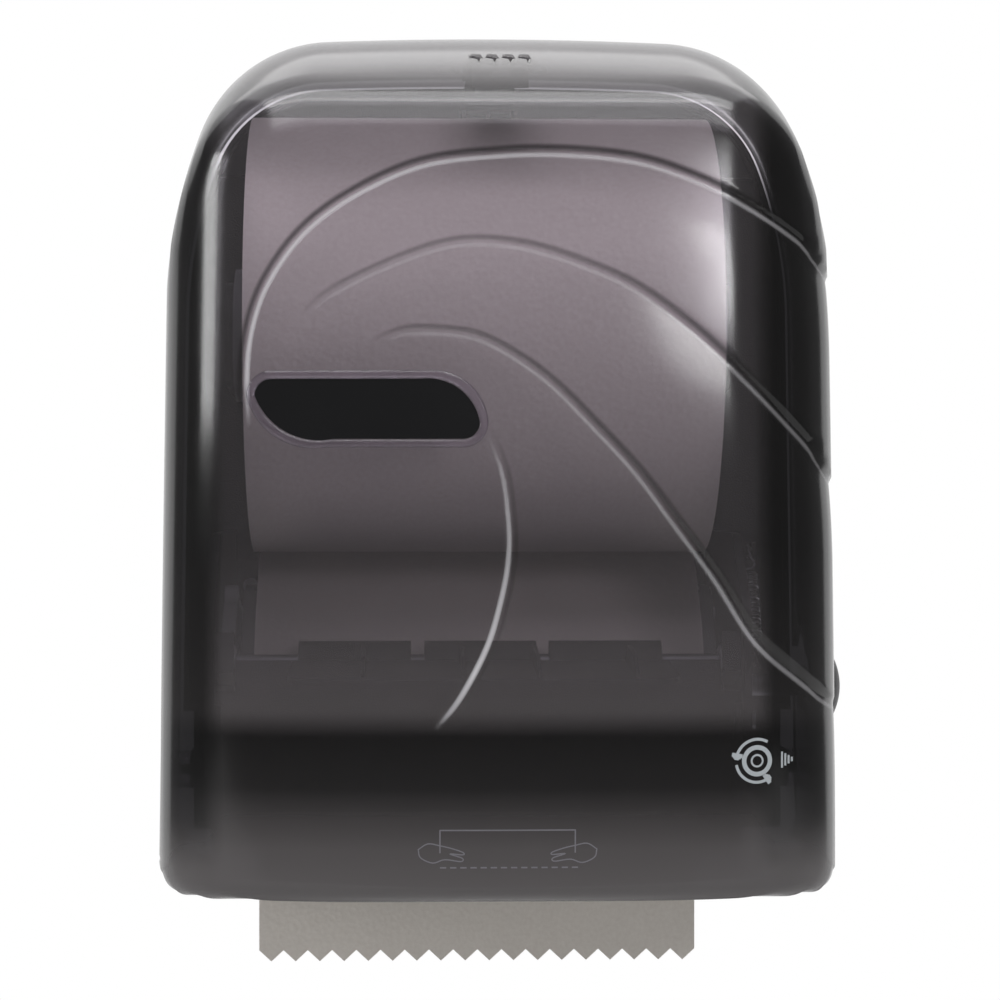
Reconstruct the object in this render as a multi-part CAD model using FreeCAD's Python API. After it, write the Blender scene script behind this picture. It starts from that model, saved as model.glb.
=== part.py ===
import FreeCAD, Part
import math
import os

# A hands-free roll towel dispenser for a wall. X runs to the right, Y into the wall and Z up.
# The wall is the plane Y = 0, and the origin is the centre of the four wall holes. Millimetres.

# Cover: outer sizes and the curves of its skin
COVER_WIDTH = 312.0
COVER_HEIGHT = 375.0
COVER_DEPTH = 238.0
COVER_WALL = 3.0
COVER_WALL_GAP = 4.0
SIDE_DRAFT = 3.0
SIDE_TAPER = 0.825
SHOULDER_DEPTH = 117.5
SHOULDER_UPPER_R = 221.0
SHOULDER_UPPER_TURN = 20.0
SHOULDER_R = 63.0
BOTTOM_CORNER_R = 11.0
FRONT_CORNER_R = 57.0
FRONT_BOW_R = 1100.0
FRONT_CROWN_R = 1800.0
FRONT_CROWN_Z = -20.0
DOME_LENGTH = 127.0
DOME_R = 194.0
BOTTOM_LIP = 20.0
SWOOSH_DEPTH = 1.2
CREASE_ANGLE = 3.0

# Badge, lock slots and pictogram places on the cover
BADGE_LENGTH = 93.0
BADGE_HEIGHT = 25.0
BADGE_CENTRE_X = -56.0
BADGE_CENTRE_Z = 17.0
BADGE_RIM = 3.4
BADGE_RAISE = 1.6
BADGE_PLATE_PROUD = 0.8
BADGE_RECESS = 0.4
BADGE_SWEEP = (24.0, 32.0)
BADGE_SWEEP_HEIGHT = 18.0
BADGE_CORNER_R = 7.0
LOCK_SLOT_LENGTH = 5.0
LOCK_SLOT_WIDTH = 2.2
LOCK_SLOT_PITCH = 7.0
LOCK_SLOT_COUNT = 4
LOCK_SLOT_TILT = 20.0

# Cover hinge
HINGE_Y = -40.0
HINGE_RISE = 37.5
HINGE_PIN_R = 2.5
HINGE_LUG_R = 9.0
HINGE_LUG_T = 8.0
HINGE_EAR_T = 6.0
HINGE_LUG_GAP = 0.5
HEEL_R = 38.5

# Back plate
PLATE_T = 3.0
PLATE_GAP = 2.5
PLATE_RIM_DEPTH = 14.0
PLATE_RIM_T = 2.5
WALL_HOLE_X = 200.0
WALL_HOLE_Z = 230.0
WALL_HOLE_R = 2.8
WALL_BOSS_R = 7.0
WALL_BOSS_H = 3.0
RIB_T = 2.0
RIB_H = 5.0
RIB_X = (-60.0, 60.0)
RIB_Z = (-10.0, 140.0)
PLATE_FOOT_X = 144.5
PLATE_STEP_Z = -124.0

# Paper
PAPER_WIDTH = 203.2
PAPER_CENTRE_X = -7.0
ROLL_R = 98.0
ROLL_Y = -118.0
ROLL_Z = 54.0
CORE_R = 20.5
CORE_T = 1.4
WEB_T = 0.4
WEB_GAP = 0.3
TAIL_Y = -84.0
TAIL_BELOW_COVER = 48.0
TAIL_BEND_R = 22.0
WEB_LEAVE_ANGLE = 50.0
TOOTH_COUNT = 18
TOOTH_DEPTH = 5.2

# Drum and what turns with it
DRUM_Y = -80.0
DRUM_Z = -107.5
DRUM_R = 47.5
DRUM_WALL = 2.5
DRUM_END_MARGIN = 6.0
DRUM_SLOT_MARGIN = 1.5
DRUM_SLOT_ANGLE = 90.0
DRUM_SLOT_HALF_WIDTH = 14.5
CAP_T = 3.2
SHAFT_R = 5.0
RUN_CLEARANCE = 0.05
PRESS_GAP = 0.02
FIT_GAP = 0.1
BAND_WIDTH = 16.0
BAND_COUNT = 5
BAND_T = 1.1
BAND_PROUD = 0.3
BAND_OPEN_ANGLE = 21.0
CAP_INSET = 2.4
DRUM_BOSS_R = 4.6
DRUM_BOSS_LENGTH = 15.0
DRUM_BOSS_ANGLES = (78.0, 282.0, 140.5, 219.5)

# Knife in the drum: places are (out along the slot's middle, along the turn) from the drum's axis
KNIFE_PIVOT = (33.0, -17.0)
KNIFE_REACH = (3.0, 30.0)
KNIFE_BOSS_R = 4.0
KNIFE_ARM_T = 3.0
KNIFE_ARM_REACH = 21.0
KNIFE_STUB_R = 3.0
BLADE_T = 0.8
BLADE_BACK = 7.0
BLADE_TOOTH_DEPTH = 6.0
FOLLOWER_ARM = (-14.0, 6.0)
FOLLOWER_ARM_T = 2.6
FOLLOWER_R = 4.0
FOLLOWER_PIN_R = 1.5

# Cam track on the left cheek
CAM_GAP = 0.4
CAM_T = 6.1
CAM_FLOOR_T = 1.3
CAM_HUB_R = 17.0
CAM_TRACK_R = 38.0
CAM_R = 41.0
CAM_LUG_R = 5.0
CAM_LUG_ANGLES = (10.0, 150.0, 265.0)

# Cheeks that carry the drum
CHEEK_T = 4.0
CHEEK_RIGHT_GAP = 7.5
CHEEK_TOP = 72.0
CHEEK_BOTTOM = 74.0
CHEEK_FRONT = 82.0
CHEEK_CORNER_R = 16.0
CHEEK_FOOT = 14.0
CHEEK_FOOT_T = 4.0
CHEEK_SCREW_DZ = (-50.0, 45.0)
CHEEK_HOLES = ((52.0, 34.0, 11.0), (52.0, -34.0, 11.0))
BUSH_R = 8.0
BUSH_FLANGE_R = 12.0
BUSH_FLANGE_T = 2.0

# Pinch roller
PINCH_ANGLE = 75.0
PINCH_R = 9.0
PINCH_SHAFT_R = 3.0
PINCH_SLEEVE_LENGTH = 50.0
PINCH_SLEEVE_COUNT = 3
BLOCK_SIDE = 12.0
BLOCK_SLACK = 0.2
BLOCK_HOUSING_T = 8.0
BLOCK_HOUSING_WALL = 3.0
PINCH_SPRING_LENGTH = 10.0

# Front guide, seen through the cover, and the exit guide under the drum
GUIDE_FRONT_Y = -215.0
GUIDE_FRONT_Z = -96.0
GUIDE_RISE = 5.0
GUIDE_WIDTH = 167.0
GUIDE_T = 2.4
GUARD_R = 69.5
GUARD_TOP_ANGLE = 77.0
GUARD_WIDE_ANGLE = 88.0
GUARD_END_ANGLE = 138.0
GUIDE_RIB_X = (-58.5, -15.7, 16.5, 58.2)
GUIDE_RIB_H = 8.0
GUIDE_RIB_T = 1.8
EXIT_T = 2.5
EXIT_TOP_Z = -172.0
EXIT_BOTTOM_Z = -186.0
EXIT_REAR_Y = -50.0
GUARD_SCREW_ANGLES = (98.0, 124.0)

# Roll arms and hubs
ARM_T = 4.0
ARM_ROOT_HEIGHT = 60.0
ARM_FOOT = 14.0
ARM_SCREW_DZ = (-22.0, 22.0)
HUB_SPIGOT_R = 8.0
ARM_TIP_R = 24.0
HUB_FLANGE_R = 30.0
HUB_FLANGE_T = 7.0
HUB_END_GAP = 1.3
HUB_DEPTH = 14.0
HUB_TIP_R = 14.5
HUB_PLAY = 1.0
HUB_CHAMFER = 1.5
ARM_PIN_Y = -14.0
ARM_PIN_R = 2.5
ARM_KNUCKLE_R = 6.0
ARM_KNUCKLE_HALF = 18.0
ARM_SPRING_ROOM = 9.0
ARM_LUG_HALF = 32.0
ARM_LUG_GAP = 0.3

# Return crank, knob and springs
CRANK_T = 5.0
CRANK_GAP = 1.0
CRANK_R = 9.0
CRANK_THROW = 14.0
CRANK_PIN_R = 2.5
ANCHOR_OFFSET = (35.0, 62.0)
ANCHOR_R = 2.5
SPRING_X_GAP = 4.5
KNOB_R = 17.0
KNOB_DOME = 7.7
KNOB_GAP = 0.4
KNOB_SCALLOPS = 12
KNOB_SCALLOP_R = 2.2
KNOB_SLOT_PLAY = 4.0
KNOB_HOLE_R = 14.0
KNOB_SKIRT = 2.5
KNOB_SEAT = 3.0
SPRING_POST_GAP = 2.0
RETURN_TURNS = 16
RETURN_PITCH = 2.2
RETURN_R = 3.5
RETURN_WIRE_R = 0.5
PINCH_SPRING_TURNS = 4
PINCH_SPRING_R = 2.8
TORSION_TURNS = 3
WIRE_SIDES = 6
PINCH_WIRE_R = 0.5
KNIFE_SPRING_ROOM = 6.0
KNIFE_SPRING_R = 4.3
KNIFE_SPRING_PITCH = 1.4
KNIFE_SPRING_LEG = 6.0
KNIFE_WIRE_R = 0.4
ARM_SPRING_R = 4.2
ARM_SPRING_PITCH = 1.7
ARM_WIRE_R = 0.5

# Latch under the cover's top
LATCH_PIVOT_Y = -100.0
LATCH_PIVOT_DROP = 7.0
LATCH_PIN_R = 1.5
LATCH_EAR_R = 4.3
LATCH_WIDTH = 24.0
LATCH_T = 2.8
LATCH_REAR_Y = -15.0
LATCH_REAR_DROP = 4.1
LATCH_PAD_GAP = 0.6
LATCH_BRACKET_T = 2.0
LATCH_SCREW_X = 21.0
LATCH_BOSS_R = 4.5
LATCH_BOSS_DROP = 3.4
LATCH_NOSE_DROP = 3.6
KEEPER_Y = -20.0
KEEPER_T = 3.0
KEEPER_GAP = 0.5
KEEPER_HALF = 14.0
LATCH_SPRING_ROOM = 5.0
LATCH_SPRING_R = 3.6
LATCH_SPRING_PITCH = 1.1
LATCH_WIRE_R = 0.3
LOCK_Y = -192.0

# Screws
SCREW_R = 2.0
SCREW_LENGTH = 6.5
BLADE_SCREW_R = 1.0
KNOB_SCREW_R = 1.5
SCREW_HEAD_R = 3.6
SCREW_HEAD_H = 2.2

# Places worked out from the sizes above
HALF_WIDTH = COVER_WIDTH / 2
TOP_Z = COVER_HEIGHT / 2
BOTTOM_Z = -COVER_HEIGHT / 2
RIM_Y = -COVER_WALL_GAP
FRONT_Y = -COVER_DEPTH
DOME_Y = FRONT_Y + DOME_LENGTH
TAN_DRAFT = math.tan(math.radians(SIDE_DRAFT))
TAN_TAPER = math.tan(math.radians(SIDE_TAPER))
HINGE_Z = BOTTOM_Z + HINGE_RISE
HINGE_LUG_X = HALF_WIDTH - COVER_WALL - HINGE_LUG_T - 1.0
HINGE_EAR_X = HINGE_LUG_X - HINGE_LUG_GAP - HINGE_EAR_T
PAPER_LEFT = PAPER_CENTRE_X - PAPER_WIDTH / 2
PAPER_RIGHT = PAPER_CENTRE_X + PAPER_WIDTH / 2
DRUM_LEFT = PAPER_LEFT - DRUM_END_MARGIN
DRUM_RIGHT = PAPER_RIGHT + DRUM_END_MARGIN
SLOT_LEFT = PAPER_LEFT - DRUM_SLOT_MARGIN
SLOT_RIGHT = PAPER_RIGHT + DRUM_SLOT_MARGIN
FOLLOWER_ARM_X = DRUM_LEFT - CAM_GAP - FOLLOWER_ARM_T
CAM_FACE_X = FOLLOWER_ARM_X - CAM_GAP
CHEEK_LEFT_X = CAM_FACE_X - CAM_T
CHEEK_RIGHT_X = DRUM_RIGHT + CHEEK_RIGHT_GAP
CRANK_X = CHEEK_RIGHT_X + CHEEK_T + BUSH_FLANGE_T + CRANK_GAP
SPRING_X = CRANK_X + CRANK_T + SPRING_X_GAP
BAND_OUTER_R = DRUM_R + BAND_PROUD
WEB_INNER_R = BAND_OUTER_R + WEB_GAP
DRUM_BOSS_REACH = DRUM_R - DRUM_WALL - SCREW_HEAD_R - 0.3
PINCH_DISTANCE = WEB_INNER_R + WEB_T + WEB_GAP + PINCH_R
LATCH_Z = TOP_Z - COVER_WALL - LATCH_PIVOT_DROP
LATCH_BOSS_Z = TOP_Z - COVER_WALL - LATCH_BOSS_DROP
LATCH_TOP_Z = TOP_Z - COVER_WALL - LATCH_REAR_DROP
KEEPER_Z = LATCH_TOP_Z - LATCH_T - LATCH_NOSE_DROP - KEEPER_GAP
PLATE_FRONT = -PLATE_T
ARM_LEFT_X = PAPER_LEFT - HUB_END_GAP - HUB_FLANGE_T - ARM_T
ARM_RIGHT_X = PAPER_RIGHT + HUB_END_GAP + HUB_FLANGE_T
ARM_PIN_X = ARM_RIGHT_X + ARM_T / 2
KNOB_X = HALF_WIDTH - KNOB_GAP
LEFT = -1
RIGHT = 1


def vec(x, y, z):
    return FreeCAD.Vector(x, y, z)


X_AXIS = vec(1, 0, 0)
Y_AXIS = vec(0, 1, 0)
Z_AXIS = vec(0, 0, 1)


def box(x0, x1, y0, y1, z0, z1):
    """A block between two corners."""
    return Part.makeBox(x1 - x0, y1 - y0, z1 - z0, vec(x0, y0, z0))


def rod(x0, x1, y, z, r):
    """A cylinder along X."""
    return Part.makeCylinder(r, x1 - x0, vec(x0, y, z), X_AXIS)


def tube(x0, x1, y, z, outer, inner):
    """A hollow cylinder along X."""
    return rod(x0, x1, y, z, outer).cut(rod(x0 - 1, x1 + 1, y, z, inner))


def side_prism(x0, x1, points):
    """A prism along X from (y, z) corners."""
    corners = [vec(x0, y, z) for y, z in points]
    face = Part.Face(Part.makePolygon(corners + corners[:1]))
    return face.extrude(vec(x1 - x0, 0, 0))


def front_prism(y0, y1, points):
    """A prism along Y from (x, z) corners."""
    corners = [vec(x, y0, z) for x, z in points]
    face = Part.Face(Part.makePolygon(corners + corners[:1]))
    return face.extrude(vec(0, y1 - y0, 0))


def round_edges(shape, radius, keep):
    """The shape with the edges that keep() picks rounded."""
    edges = [e for e in shape.Edges if keep(e)]
    return shape.makeFillet(radius, edges)


def along(edge, axis):
    """Is this edge a straight line along the axis?"""
    return edge.Curve.TypeId == "Part::GeomLine" and abs(abs(edge.Curve.Direction.dot(axis)) - 1) < 1e-6


def fuse(first, *others):
    """One clean solid from touching solids."""
    return first.fuse(list(others)).removeSplitter()


def arc(a, b, c):
    return Part.Arc(a, b, c).toShape()


def line(a, b):
    return Part.LineSegment(a, b).toShape()


def dome_drop(y, inset):
    """How far the top has fallen at a depth, on a circle that starts level at DOME_Y."""
    run = max(DOME_Y - y, 0.0)
    radius = DOME_R - inset
    return radius - math.sqrt(radius**2 - run**2)


def cover_outline(y, inset):
    """The cover's outline in a plane across Y: flat bottom, tapering sides, two shoulder arcs, arched top."""
    drop = dome_drop(y, inset)
    half = HALF_WIDTH - inset - TAN_DRAFT * (RIM_Y - y)
    bottom = BOTTOM_Z + inset
    start = TOP_Z - SHOULDER_DEPTH - 0.53 * drop
    upper_r = SHOULDER_UPPER_R - inset - 0.88 * drop
    corner_r = SHOULDER_R - inset - 0.26 * drop
    low_r = BOTTOM_CORNER_R - inset
    side = lambda z: half - TAN_TAPER * (z - BOTTOM_Z)
    turn = math.radians(SHOULDER_UPPER_TURN)
    lean = math.atan(TAN_TAPER)
    p = (side(start), start)
    c1 = (p[0] - upper_r * math.cos(lean), p[1] - upper_r * math.sin(lean))
    q = (c1[0] + upper_r * math.cos(lean + turn), c1[1] + upper_r * math.sin(lean + turn))
    q_mid = (c1[0] + upper_r * math.cos(lean + turn / 2), c1[1] + upper_r * math.sin(lean + turn / 2))
    c2 = (q[0] - corner_r * math.cos(lean + turn), q[1] - corner_r * math.sin(lean + turn))
    top = TOP_Z - inset - drop
    fall = c2[1] - top
    arch_r = (c2[0] ** 2 + fall**2 - corner_r**2) / (-2 * (fall + corner_r))
    arch_z = top - arch_r
    end = math.atan2(c2[1] - arch_z, c2[0])
    r = (c2[0] + corner_r * math.cos(end), c2[1] + corner_r * math.sin(end))
    middle = (lean + turn + end) / 2
    r_mid = (c2[0] + corner_r * math.cos(middle), c2[1] + corner_r * math.sin(middle))
    b = (side(bottom + low_r), bottom + low_r)
    b_end = (b[0] - low_r, bottom)
    b_mid = (b_end[0] + low_r * math.sin(math.pi / 4), b[1] - low_r * math.cos(math.pi / 4))
    right = lambda u: vec(u[0], y, u[1])
    left = lambda u: vec(-u[0], y, u[1])
    edges = [
        line(left(b_end), right(b_end)),
        arc(right(b_end), right(b_mid), right(b)),
        line(right(b), right(p)),
        arc(right(p), right(q_mid), right(q)),
        arc(right(q), right(r_mid), right(r)),
        arc(right(r), vec(0, y, top), left(r)),
        arc(left(r), left(r_mid), left(q)),
        arc(left(q), left(q_mid), left(p)),
        line(left(p), left(b)),
        arc(left(b), left(b_mid), left(b_end)),
    ]
    return Part.Wire(edges)


def side_skin(inset):
    """The solid inside the cover's sides, shoulders and domed top, lofted through outlines."""
    steps = [RIM_Y + 8, RIM_Y, (RIM_Y + DOME_Y) / 2, DOME_Y]
    count = 5
    for n in range(1, count + 1):
        steps.append(DOME_Y - (DOME_LENGTH + 8) * n / count)
    return Part.makeLoft([cover_outline(y, inset) for y in steps], True, False)


def plan_section(z, inset):
    """The cover's plan at a height: bowed front, corner arcs, and sides that flare just outside the skin."""
    apex = FRONT_Y + inset + (z - FRONT_CROWN_Z) ** 2 / (2 * FRONT_CROWN_R)
    bow_r = FRONT_BOW_R - inset
    corner_r = FRONT_CORNER_R - inset
    draft = math.radians(SIDE_DRAFT)
    out = (math.cos(draft), -math.sin(draft))
    half = HALF_WIDTH - inset - TAN_TAPER * (z - BOTTOM_Z)
    reach = half * out[0] + RIM_Y * out[1] - corner_r
    base = (out[0] * reach, out[1] * reach - apex - bow_r)
    run = (-out[1], out[0])
    b = base[0] * run[0] + base[1] * run[1]
    c = base[0] ** 2 + base[1] ** 2 - (bow_r - corner_r) ** 2
    s = -b - math.sqrt(b * b - c)
    centre = (out[0] * reach + run[0] * s, out[1] * reach + run[1] * s)
    front = math.atan2(centre[1] - apex - bow_r, centre[0])
    end = -draft - math.radians(CREASE_ANGLE)
    on_arc = lambda a: (centre[0] + corner_r * math.cos(a), centre[1] + corner_r * math.sin(a))
    f, m, e = on_arc(front), on_arc((front + end) / 2), on_arc(end)
    rear_y = RIM_Y + 12
    rear = (e[0] + (rear_y - e[1]) * math.tan(-end), rear_y)
    right = lambda u: vec(u[0], u[1], z)
    left = lambda u: vec(-u[0], u[1], z)
    edges = [
        line(right(rear), right(e)),
        arc(right(e), right(m), right(f)),
        arc(right(f), vec(0, apex, z), left(f)),
        arc(left(f), left(m), left(e)),
        line(left(e), left(rear)),
        line(left(rear), right(rear)),
    ]
    return Part.Wire(edges)


def front_skin(inset):
    """The solid behind the cover's bowed front and its upright corners."""
    count = 6
    low = BOTTOM_Z - 5
    high = TOP_Z + 5
    heights = [low + (high - low) * n / count for n in range(count + 1)]
    return Part.makeLoft([plan_section(z, inset) for z in heights], True, False)


def cover_body(inset):
    """The space inside the cover's skin at an inset."""
    body = side_skin(inset).common(front_skin(inset))
    wide, tall = HALF_WIDTH + 10, TOP_Z + 10
    return body.common(box(-wide, wide, FRONT_Y - 10, RIM_Y, -tall, tall))


def spline(points):
    """A smooth curve across the cover's front through (x, z) points."""
    curve = Part.BSplineCurve()
    curve.interpolate([vec(x, FRONT_Y - 5, z) for x, z in points])
    return curve.toShape()


def crescent(points, width):
    """A crescent along the cover's front: its outer line runs through the points, its inner one swells away."""
    last = len(points) - 1
    inner = [points[last]]
    for n in range(last - 1, 0, -1):
        dx = points[n + 1][0] - points[n - 1][0]
        dz = points[n + 1][1] - points[n - 1][1]
        swell = width * math.sin(math.pi * n / last) ** 0.6 / math.hypot(dx, dz)
        inner.append((points[n][0] + dz * swell, points[n][1] - dx * swell))
    inner.append(points[0])
    face = Part.Face(Part.Wire([spline(points), spline(inner)]))
    return face.extrude(vec(0, COVER_DEPTH * 0.35, 0))


def badge_prism(grow, y0, y1):
    """The badge's slanted outline, grown by a margin: two tight corners and two long sweeping ones."""
    half_l = BADGE_LENGTH / 2 + grow
    half_h = BADGE_HEIGHT / 2 + grow
    tight = BADGE_CORNER_R + grow
    fall = BADGE_SWEEP_HEIGHT + grow
    at = lambda x, z: vec(BADGE_CENTRE_X + x, y0, BADGE_CENTRE_Z + z)
    bend = 1 - math.sqrt(0.5)
    edges = []
    for turn, run in ((1, BADGE_SWEEP[0]), (-1, BADGE_SWEEP[1])):
        other = BADGE_SWEEP[1] if turn == 1 else BADGE_SWEEP[0]
        start = at(turn * (half_l - run), turn * half_h)
        middle = at(turn * (half_l - run * bend), turn * (half_h - fall * bend))
        end = at(turn * half_l, turn * (half_h - fall))
        corner = at(turn * half_l, turn * (tight - half_h))
        corner_middle = at(turn * (half_l - tight * bend), turn * (tight * bend - half_h))
        corner_end = at(turn * (half_l - tight), -turn * half_h)
        next_start = at(-turn * (half_l - other), -turn * half_h)
        edges += [arc(start, middle, end)]
        if (end - corner).Length > 1e-6:
            edges += [line(end, corner)]
        edges += [arc(corner, corner_middle, corner_end), line(corner_end, next_start)]
    return Part.Face(Part.Wire(edges)).extrude(vec(0, y1 - y0, 0))


SWOOSHES = (
    (((-107, 21), (-99, 70), (-63, 107), (0, 125), (56, 121.5), (102, 103), (138, 75)), 7.0),
    (((-84, 43), (-42, 80), (7, 86), (56, 68), (106, 27), (138, -5)), 6.0),
    (((-57, 43), (-26, 50), (23, 27), (73, -29), (106, -76), (137, -98)), 6.5),
    (((-6, 6), (3.6, -37), (-5, -82), (-26, -115)), 4.0),
)


def knob_slot():
    """The curved slot that lets the cover swing past the drum's shaft, open at the rear edge."""
    dy, dz = DRUM_Y - HINGE_Y, DRUM_Z - HINGE_Z
    reach = math.hypot(dy, dz)
    half = SHAFT_R + KNOB_SLOT_PLAY
    x0, x1 = HALF_WIDTH - 20, HALF_WIDTH + 5
    ring = tube(x0, x1, HINGE_Y, HINGE_Z, reach + half, reach - half)
    far = 3 * reach
    wedge = side_prism(x0, x1, [(HINGE_Y, HINGE_Z), (HINGE_Y + dy * 3, HINGE_Z + dz * 3),
                                (HINGE_Y, HINGE_Z + far), (HINGE_Y + far, HINGE_Z + far),
                                (HINGE_Y + far, HINGE_Z)])
    return ring.common(wedge).fuse(rod(x0, x1, DRUM_Y, DRUM_Z, KNOB_HOLE_R))


def lock_slots():
    """Slanted slots through the dome, for the key that presses the latch."""
    slots = []
    for n in range(LOCK_SLOT_COUNT):
        x = (n - (LOCK_SLOT_COUNT - 1) / 2) * LOCK_SLOT_PITCH
        half_w, half_l = LOCK_SLOT_WIDTH / 2, LOCK_SLOT_LENGTH / 2
        slot = box(-half_w, half_w, -half_l, half_l, TOP_Z - 60, TOP_Z)
        slot.rotate(vec(0, 0, 0), Z_AXIS, -LOCK_SLOT_TILT)
        slot.translate(vec(x, LOCK_Y, 0))
        slots.append(slot)
    return slots


def side_wall_x(y, z):
    """How far out the cover's flat side is at a place."""
    return HALF_WIDTH - TAN_DRAFT * (RIM_Y - y) - TAN_TAPER * (z - BOTTOM_Z)


def front_cover():
    """The moulded smoke cover: one shell with swooshes, badge rim, lock slots, knob slot and hinge lugs."""
    outer = cover_body(0)
    wide = HALF_WIDTH + 5
    inner = cover_body(COVER_WALL)
    shell = outer.cut(inner)
    opening = Part.Face(plan_section(BOTTOM_Z, COVER_WALL + BOTTOM_LIP)).extrude(vec(0, 0, 2 * COVER_WALL))
    opening.translate(vec(0, 0, -COVER_WALL / 2))
    shell = shell.cut(opening)
    side_lip_end = HINGE_Y - HINGE_RISE - 2
    no_lip = HALF_WIDTH - COVER_WALL - 1
    shell = shell.cut(box(-no_lip, no_lip, side_lip_end, RIM_Y + 1, BOTTOM_Z - 1, BOTTOM_Z + COVER_WALL + 1))
    skin = outer.cut(cover_body(SWOOSH_DEPTH))
    for points, width in SWOOSHES:
        shell = shell.cut(crescent(points, width).common(skin))
    far, near = FRONT_Y - 10, FRONT_Y + 30
    rim = badge_prism(BADGE_RIM, far, near).common(cover_body(-BADGE_RAISE)).cut(cover_body(COVER_WALL / 2))
    recess = badge_prism(0, far, near).cut(cover_body(BADGE_RECESS))
    shell = shell.fuse(rim).cut(recess)
    for slot in lock_slots():
        shell = shell.cut(slot)
    shell = shell.cut(knob_slot())
    for side in (LEFT, RIGHT):
        lug_end = side_wall_x(HINGE_Y - HINGE_LUG_R, HINGE_Z + HINGE_LUG_R) - COVER_WALL / 2
        a, b = sorted((side * HINGE_LUG_X, side * lug_end))
        lug = rod(a, b, HINGE_Y, HINGE_Z, HINGE_LUG_R)
        bore_end = side * (HINGE_LUG_X + HINGE_LUG_T - COVER_WALL / 2)
        a, b = sorted((side * (HINGE_LUG_X - 1), bore_end))
        bore = rod(a, b, HINGE_Y, HINGE_Z, HINGE_PIN_R + RUN_CLEARANCE)
        a, b = sorted((side * (HALF_WIDTH - 30), side * wide))
        heel = box(a, b, HINGE_Y, RIM_Y + 1, BOTTOM_Z - 1, HINGE_Z)
        heel = heel.cut(rod(a - 1, b + 1, HINGE_Y, HINGE_Z, HEEL_R))
        shell = shell.fuse(lug).cut(bore).cut(heel)
        foot = Part.makeCylinder(LATCH_BOSS_R, 6, vec(side * LATCH_SCREW_X, LATCH_PIVOT_Y, LATCH_BOSS_Z))
        hole = Part.makeCylinder(SCREW_R, 5, vec(side * LATCH_SCREW_X, LATCH_PIVOT_Y, LATCH_BOSS_Z - 1))
        shell = shell.fuse(foot).cut(hole)
    return shell


def badge_plate():
    """The plain black plate that lies in the badge rim."""
    far, near = FRONT_Y - 10, FRONT_Y + 30
    plate = badge_prism(-FIT_GAP, far, near).common(cover_body(-BADGE_PLATE_PROUD))
    return plate.cut(cover_body(BADGE_RECESS))



def at_drum(u, t):
    """The (y, z) of a place given out along the drum's slot and along its turn."""
    a = math.radians(DRUM_SLOT_ANGLE)
    return DRUM_Y + u * math.cos(a) - t * math.sin(a), DRUM_Z + u * math.sin(a) + t * math.cos(a)


def at_pinch(r, t):
    """The (y, z) of a place given out from the drum's axis through the pinch roller, and across that line."""
    a = math.radians(PINCH_ANGLE)
    return DRUM_Y - r * math.sin(a) - t * math.cos(a), DRUM_Z + r * math.cos(a) - t * math.sin(a)


def ring_sector(x0, x1, outer, inner, start, end):
    """A part of a ring round the drum's axis, between two angles forward of straight up."""
    place = lambda r, a: (DRUM_Y - r * math.sin(math.radians(a)), DRUM_Z + r * math.cos(math.radians(a)))
    middle = (start + end) / 2
    edges = [
        arc(*(vec(x0, *place(outer, a)) for a in (start, middle, end))),
        line(vec(x0, *place(outer, end)), vec(x0, *place(inner, end))),
        arc(*(vec(x0, *place(inner, a)) for a in (end, middle, start))),
        line(vec(x0, *place(inner, start)), vec(x0, *place(outer, start))),
    ]
    return Part.Face(Part.Wire(edges)).extrude(vec(x1 - x0, 0, 0))


def screw(place, axis, length):
    """A pan-head screw whose shank runs from a seat along an axis."""
    shank = Part.makeCylinder(SCREW_R, length, place, axis)
    head = Part.makeCylinder(SCREW_HEAD_R, SCREW_HEAD_H, place - axis * SCREW_HEAD_H, axis)
    slot = Part.makeBox(2 * SCREW_HEAD_R, 0.8, 1.0, vec(-SCREW_HEAD_R, -0.4, -SCREW_HEAD_H))
    slot.Placement = FreeCAD.Placement(place, FreeCAD.Rotation(Z_AXIS, axis)).multiply(slot.Placement)
    return shank.fuse(head).cut(slot)


def screw_hole(place, axis, length):
    """The hole that a screw's shank goes through."""
    return Part.makeCylinder(SCREW_R + FIT_GAP, length + 1, place - axis, axis)


def plate_form(grow, y0, y1):
    """The back plate's outline, with its lower corners stepped in to let the cover swing."""
    outline = Part.Face(cover_outline(RIM_Y, COVER_WALL + PLATE_GAP + grow))
    form = outline.extrude(vec(0, y1 - y0, 0))
    form.translate(vec(0, y0 - RIM_Y, 0))
    for side in (LEFT, RIGHT):
        a, b = sorted((side * (PLATE_FOOT_X - grow), side * HALF_WIDTH))
        form = form.cut(box(a, b, y0 - 1, y1 + 1, BOTTOM_Z, PLATE_STEP_Z + grow))
    return form


def foot_screws():
    """Where the screws of the cheeks' and the left arm's feet sit on the back plate."""
    seat = PLATE_FRONT - CHEEK_FOOT_T
    left_x = CHEEK_LEFT_X + CHEEK_FOOT / 2
    right_x = CHEEK_RIGHT_X + CHEEK_T + CHEEK_FOOT / 2 + 1
    places = [(x, DRUM_Z + dz) for x in (left_x, right_x) for dz in CHEEK_SCREW_DZ]
    places += [(ARM_LEFT_X + ARM_T + ARM_FOOT / 2, ROLL_Z + dz) for dz in ARM_SCREW_DZ]
    return [vec(x, seat, z) for x, z in places]


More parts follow.
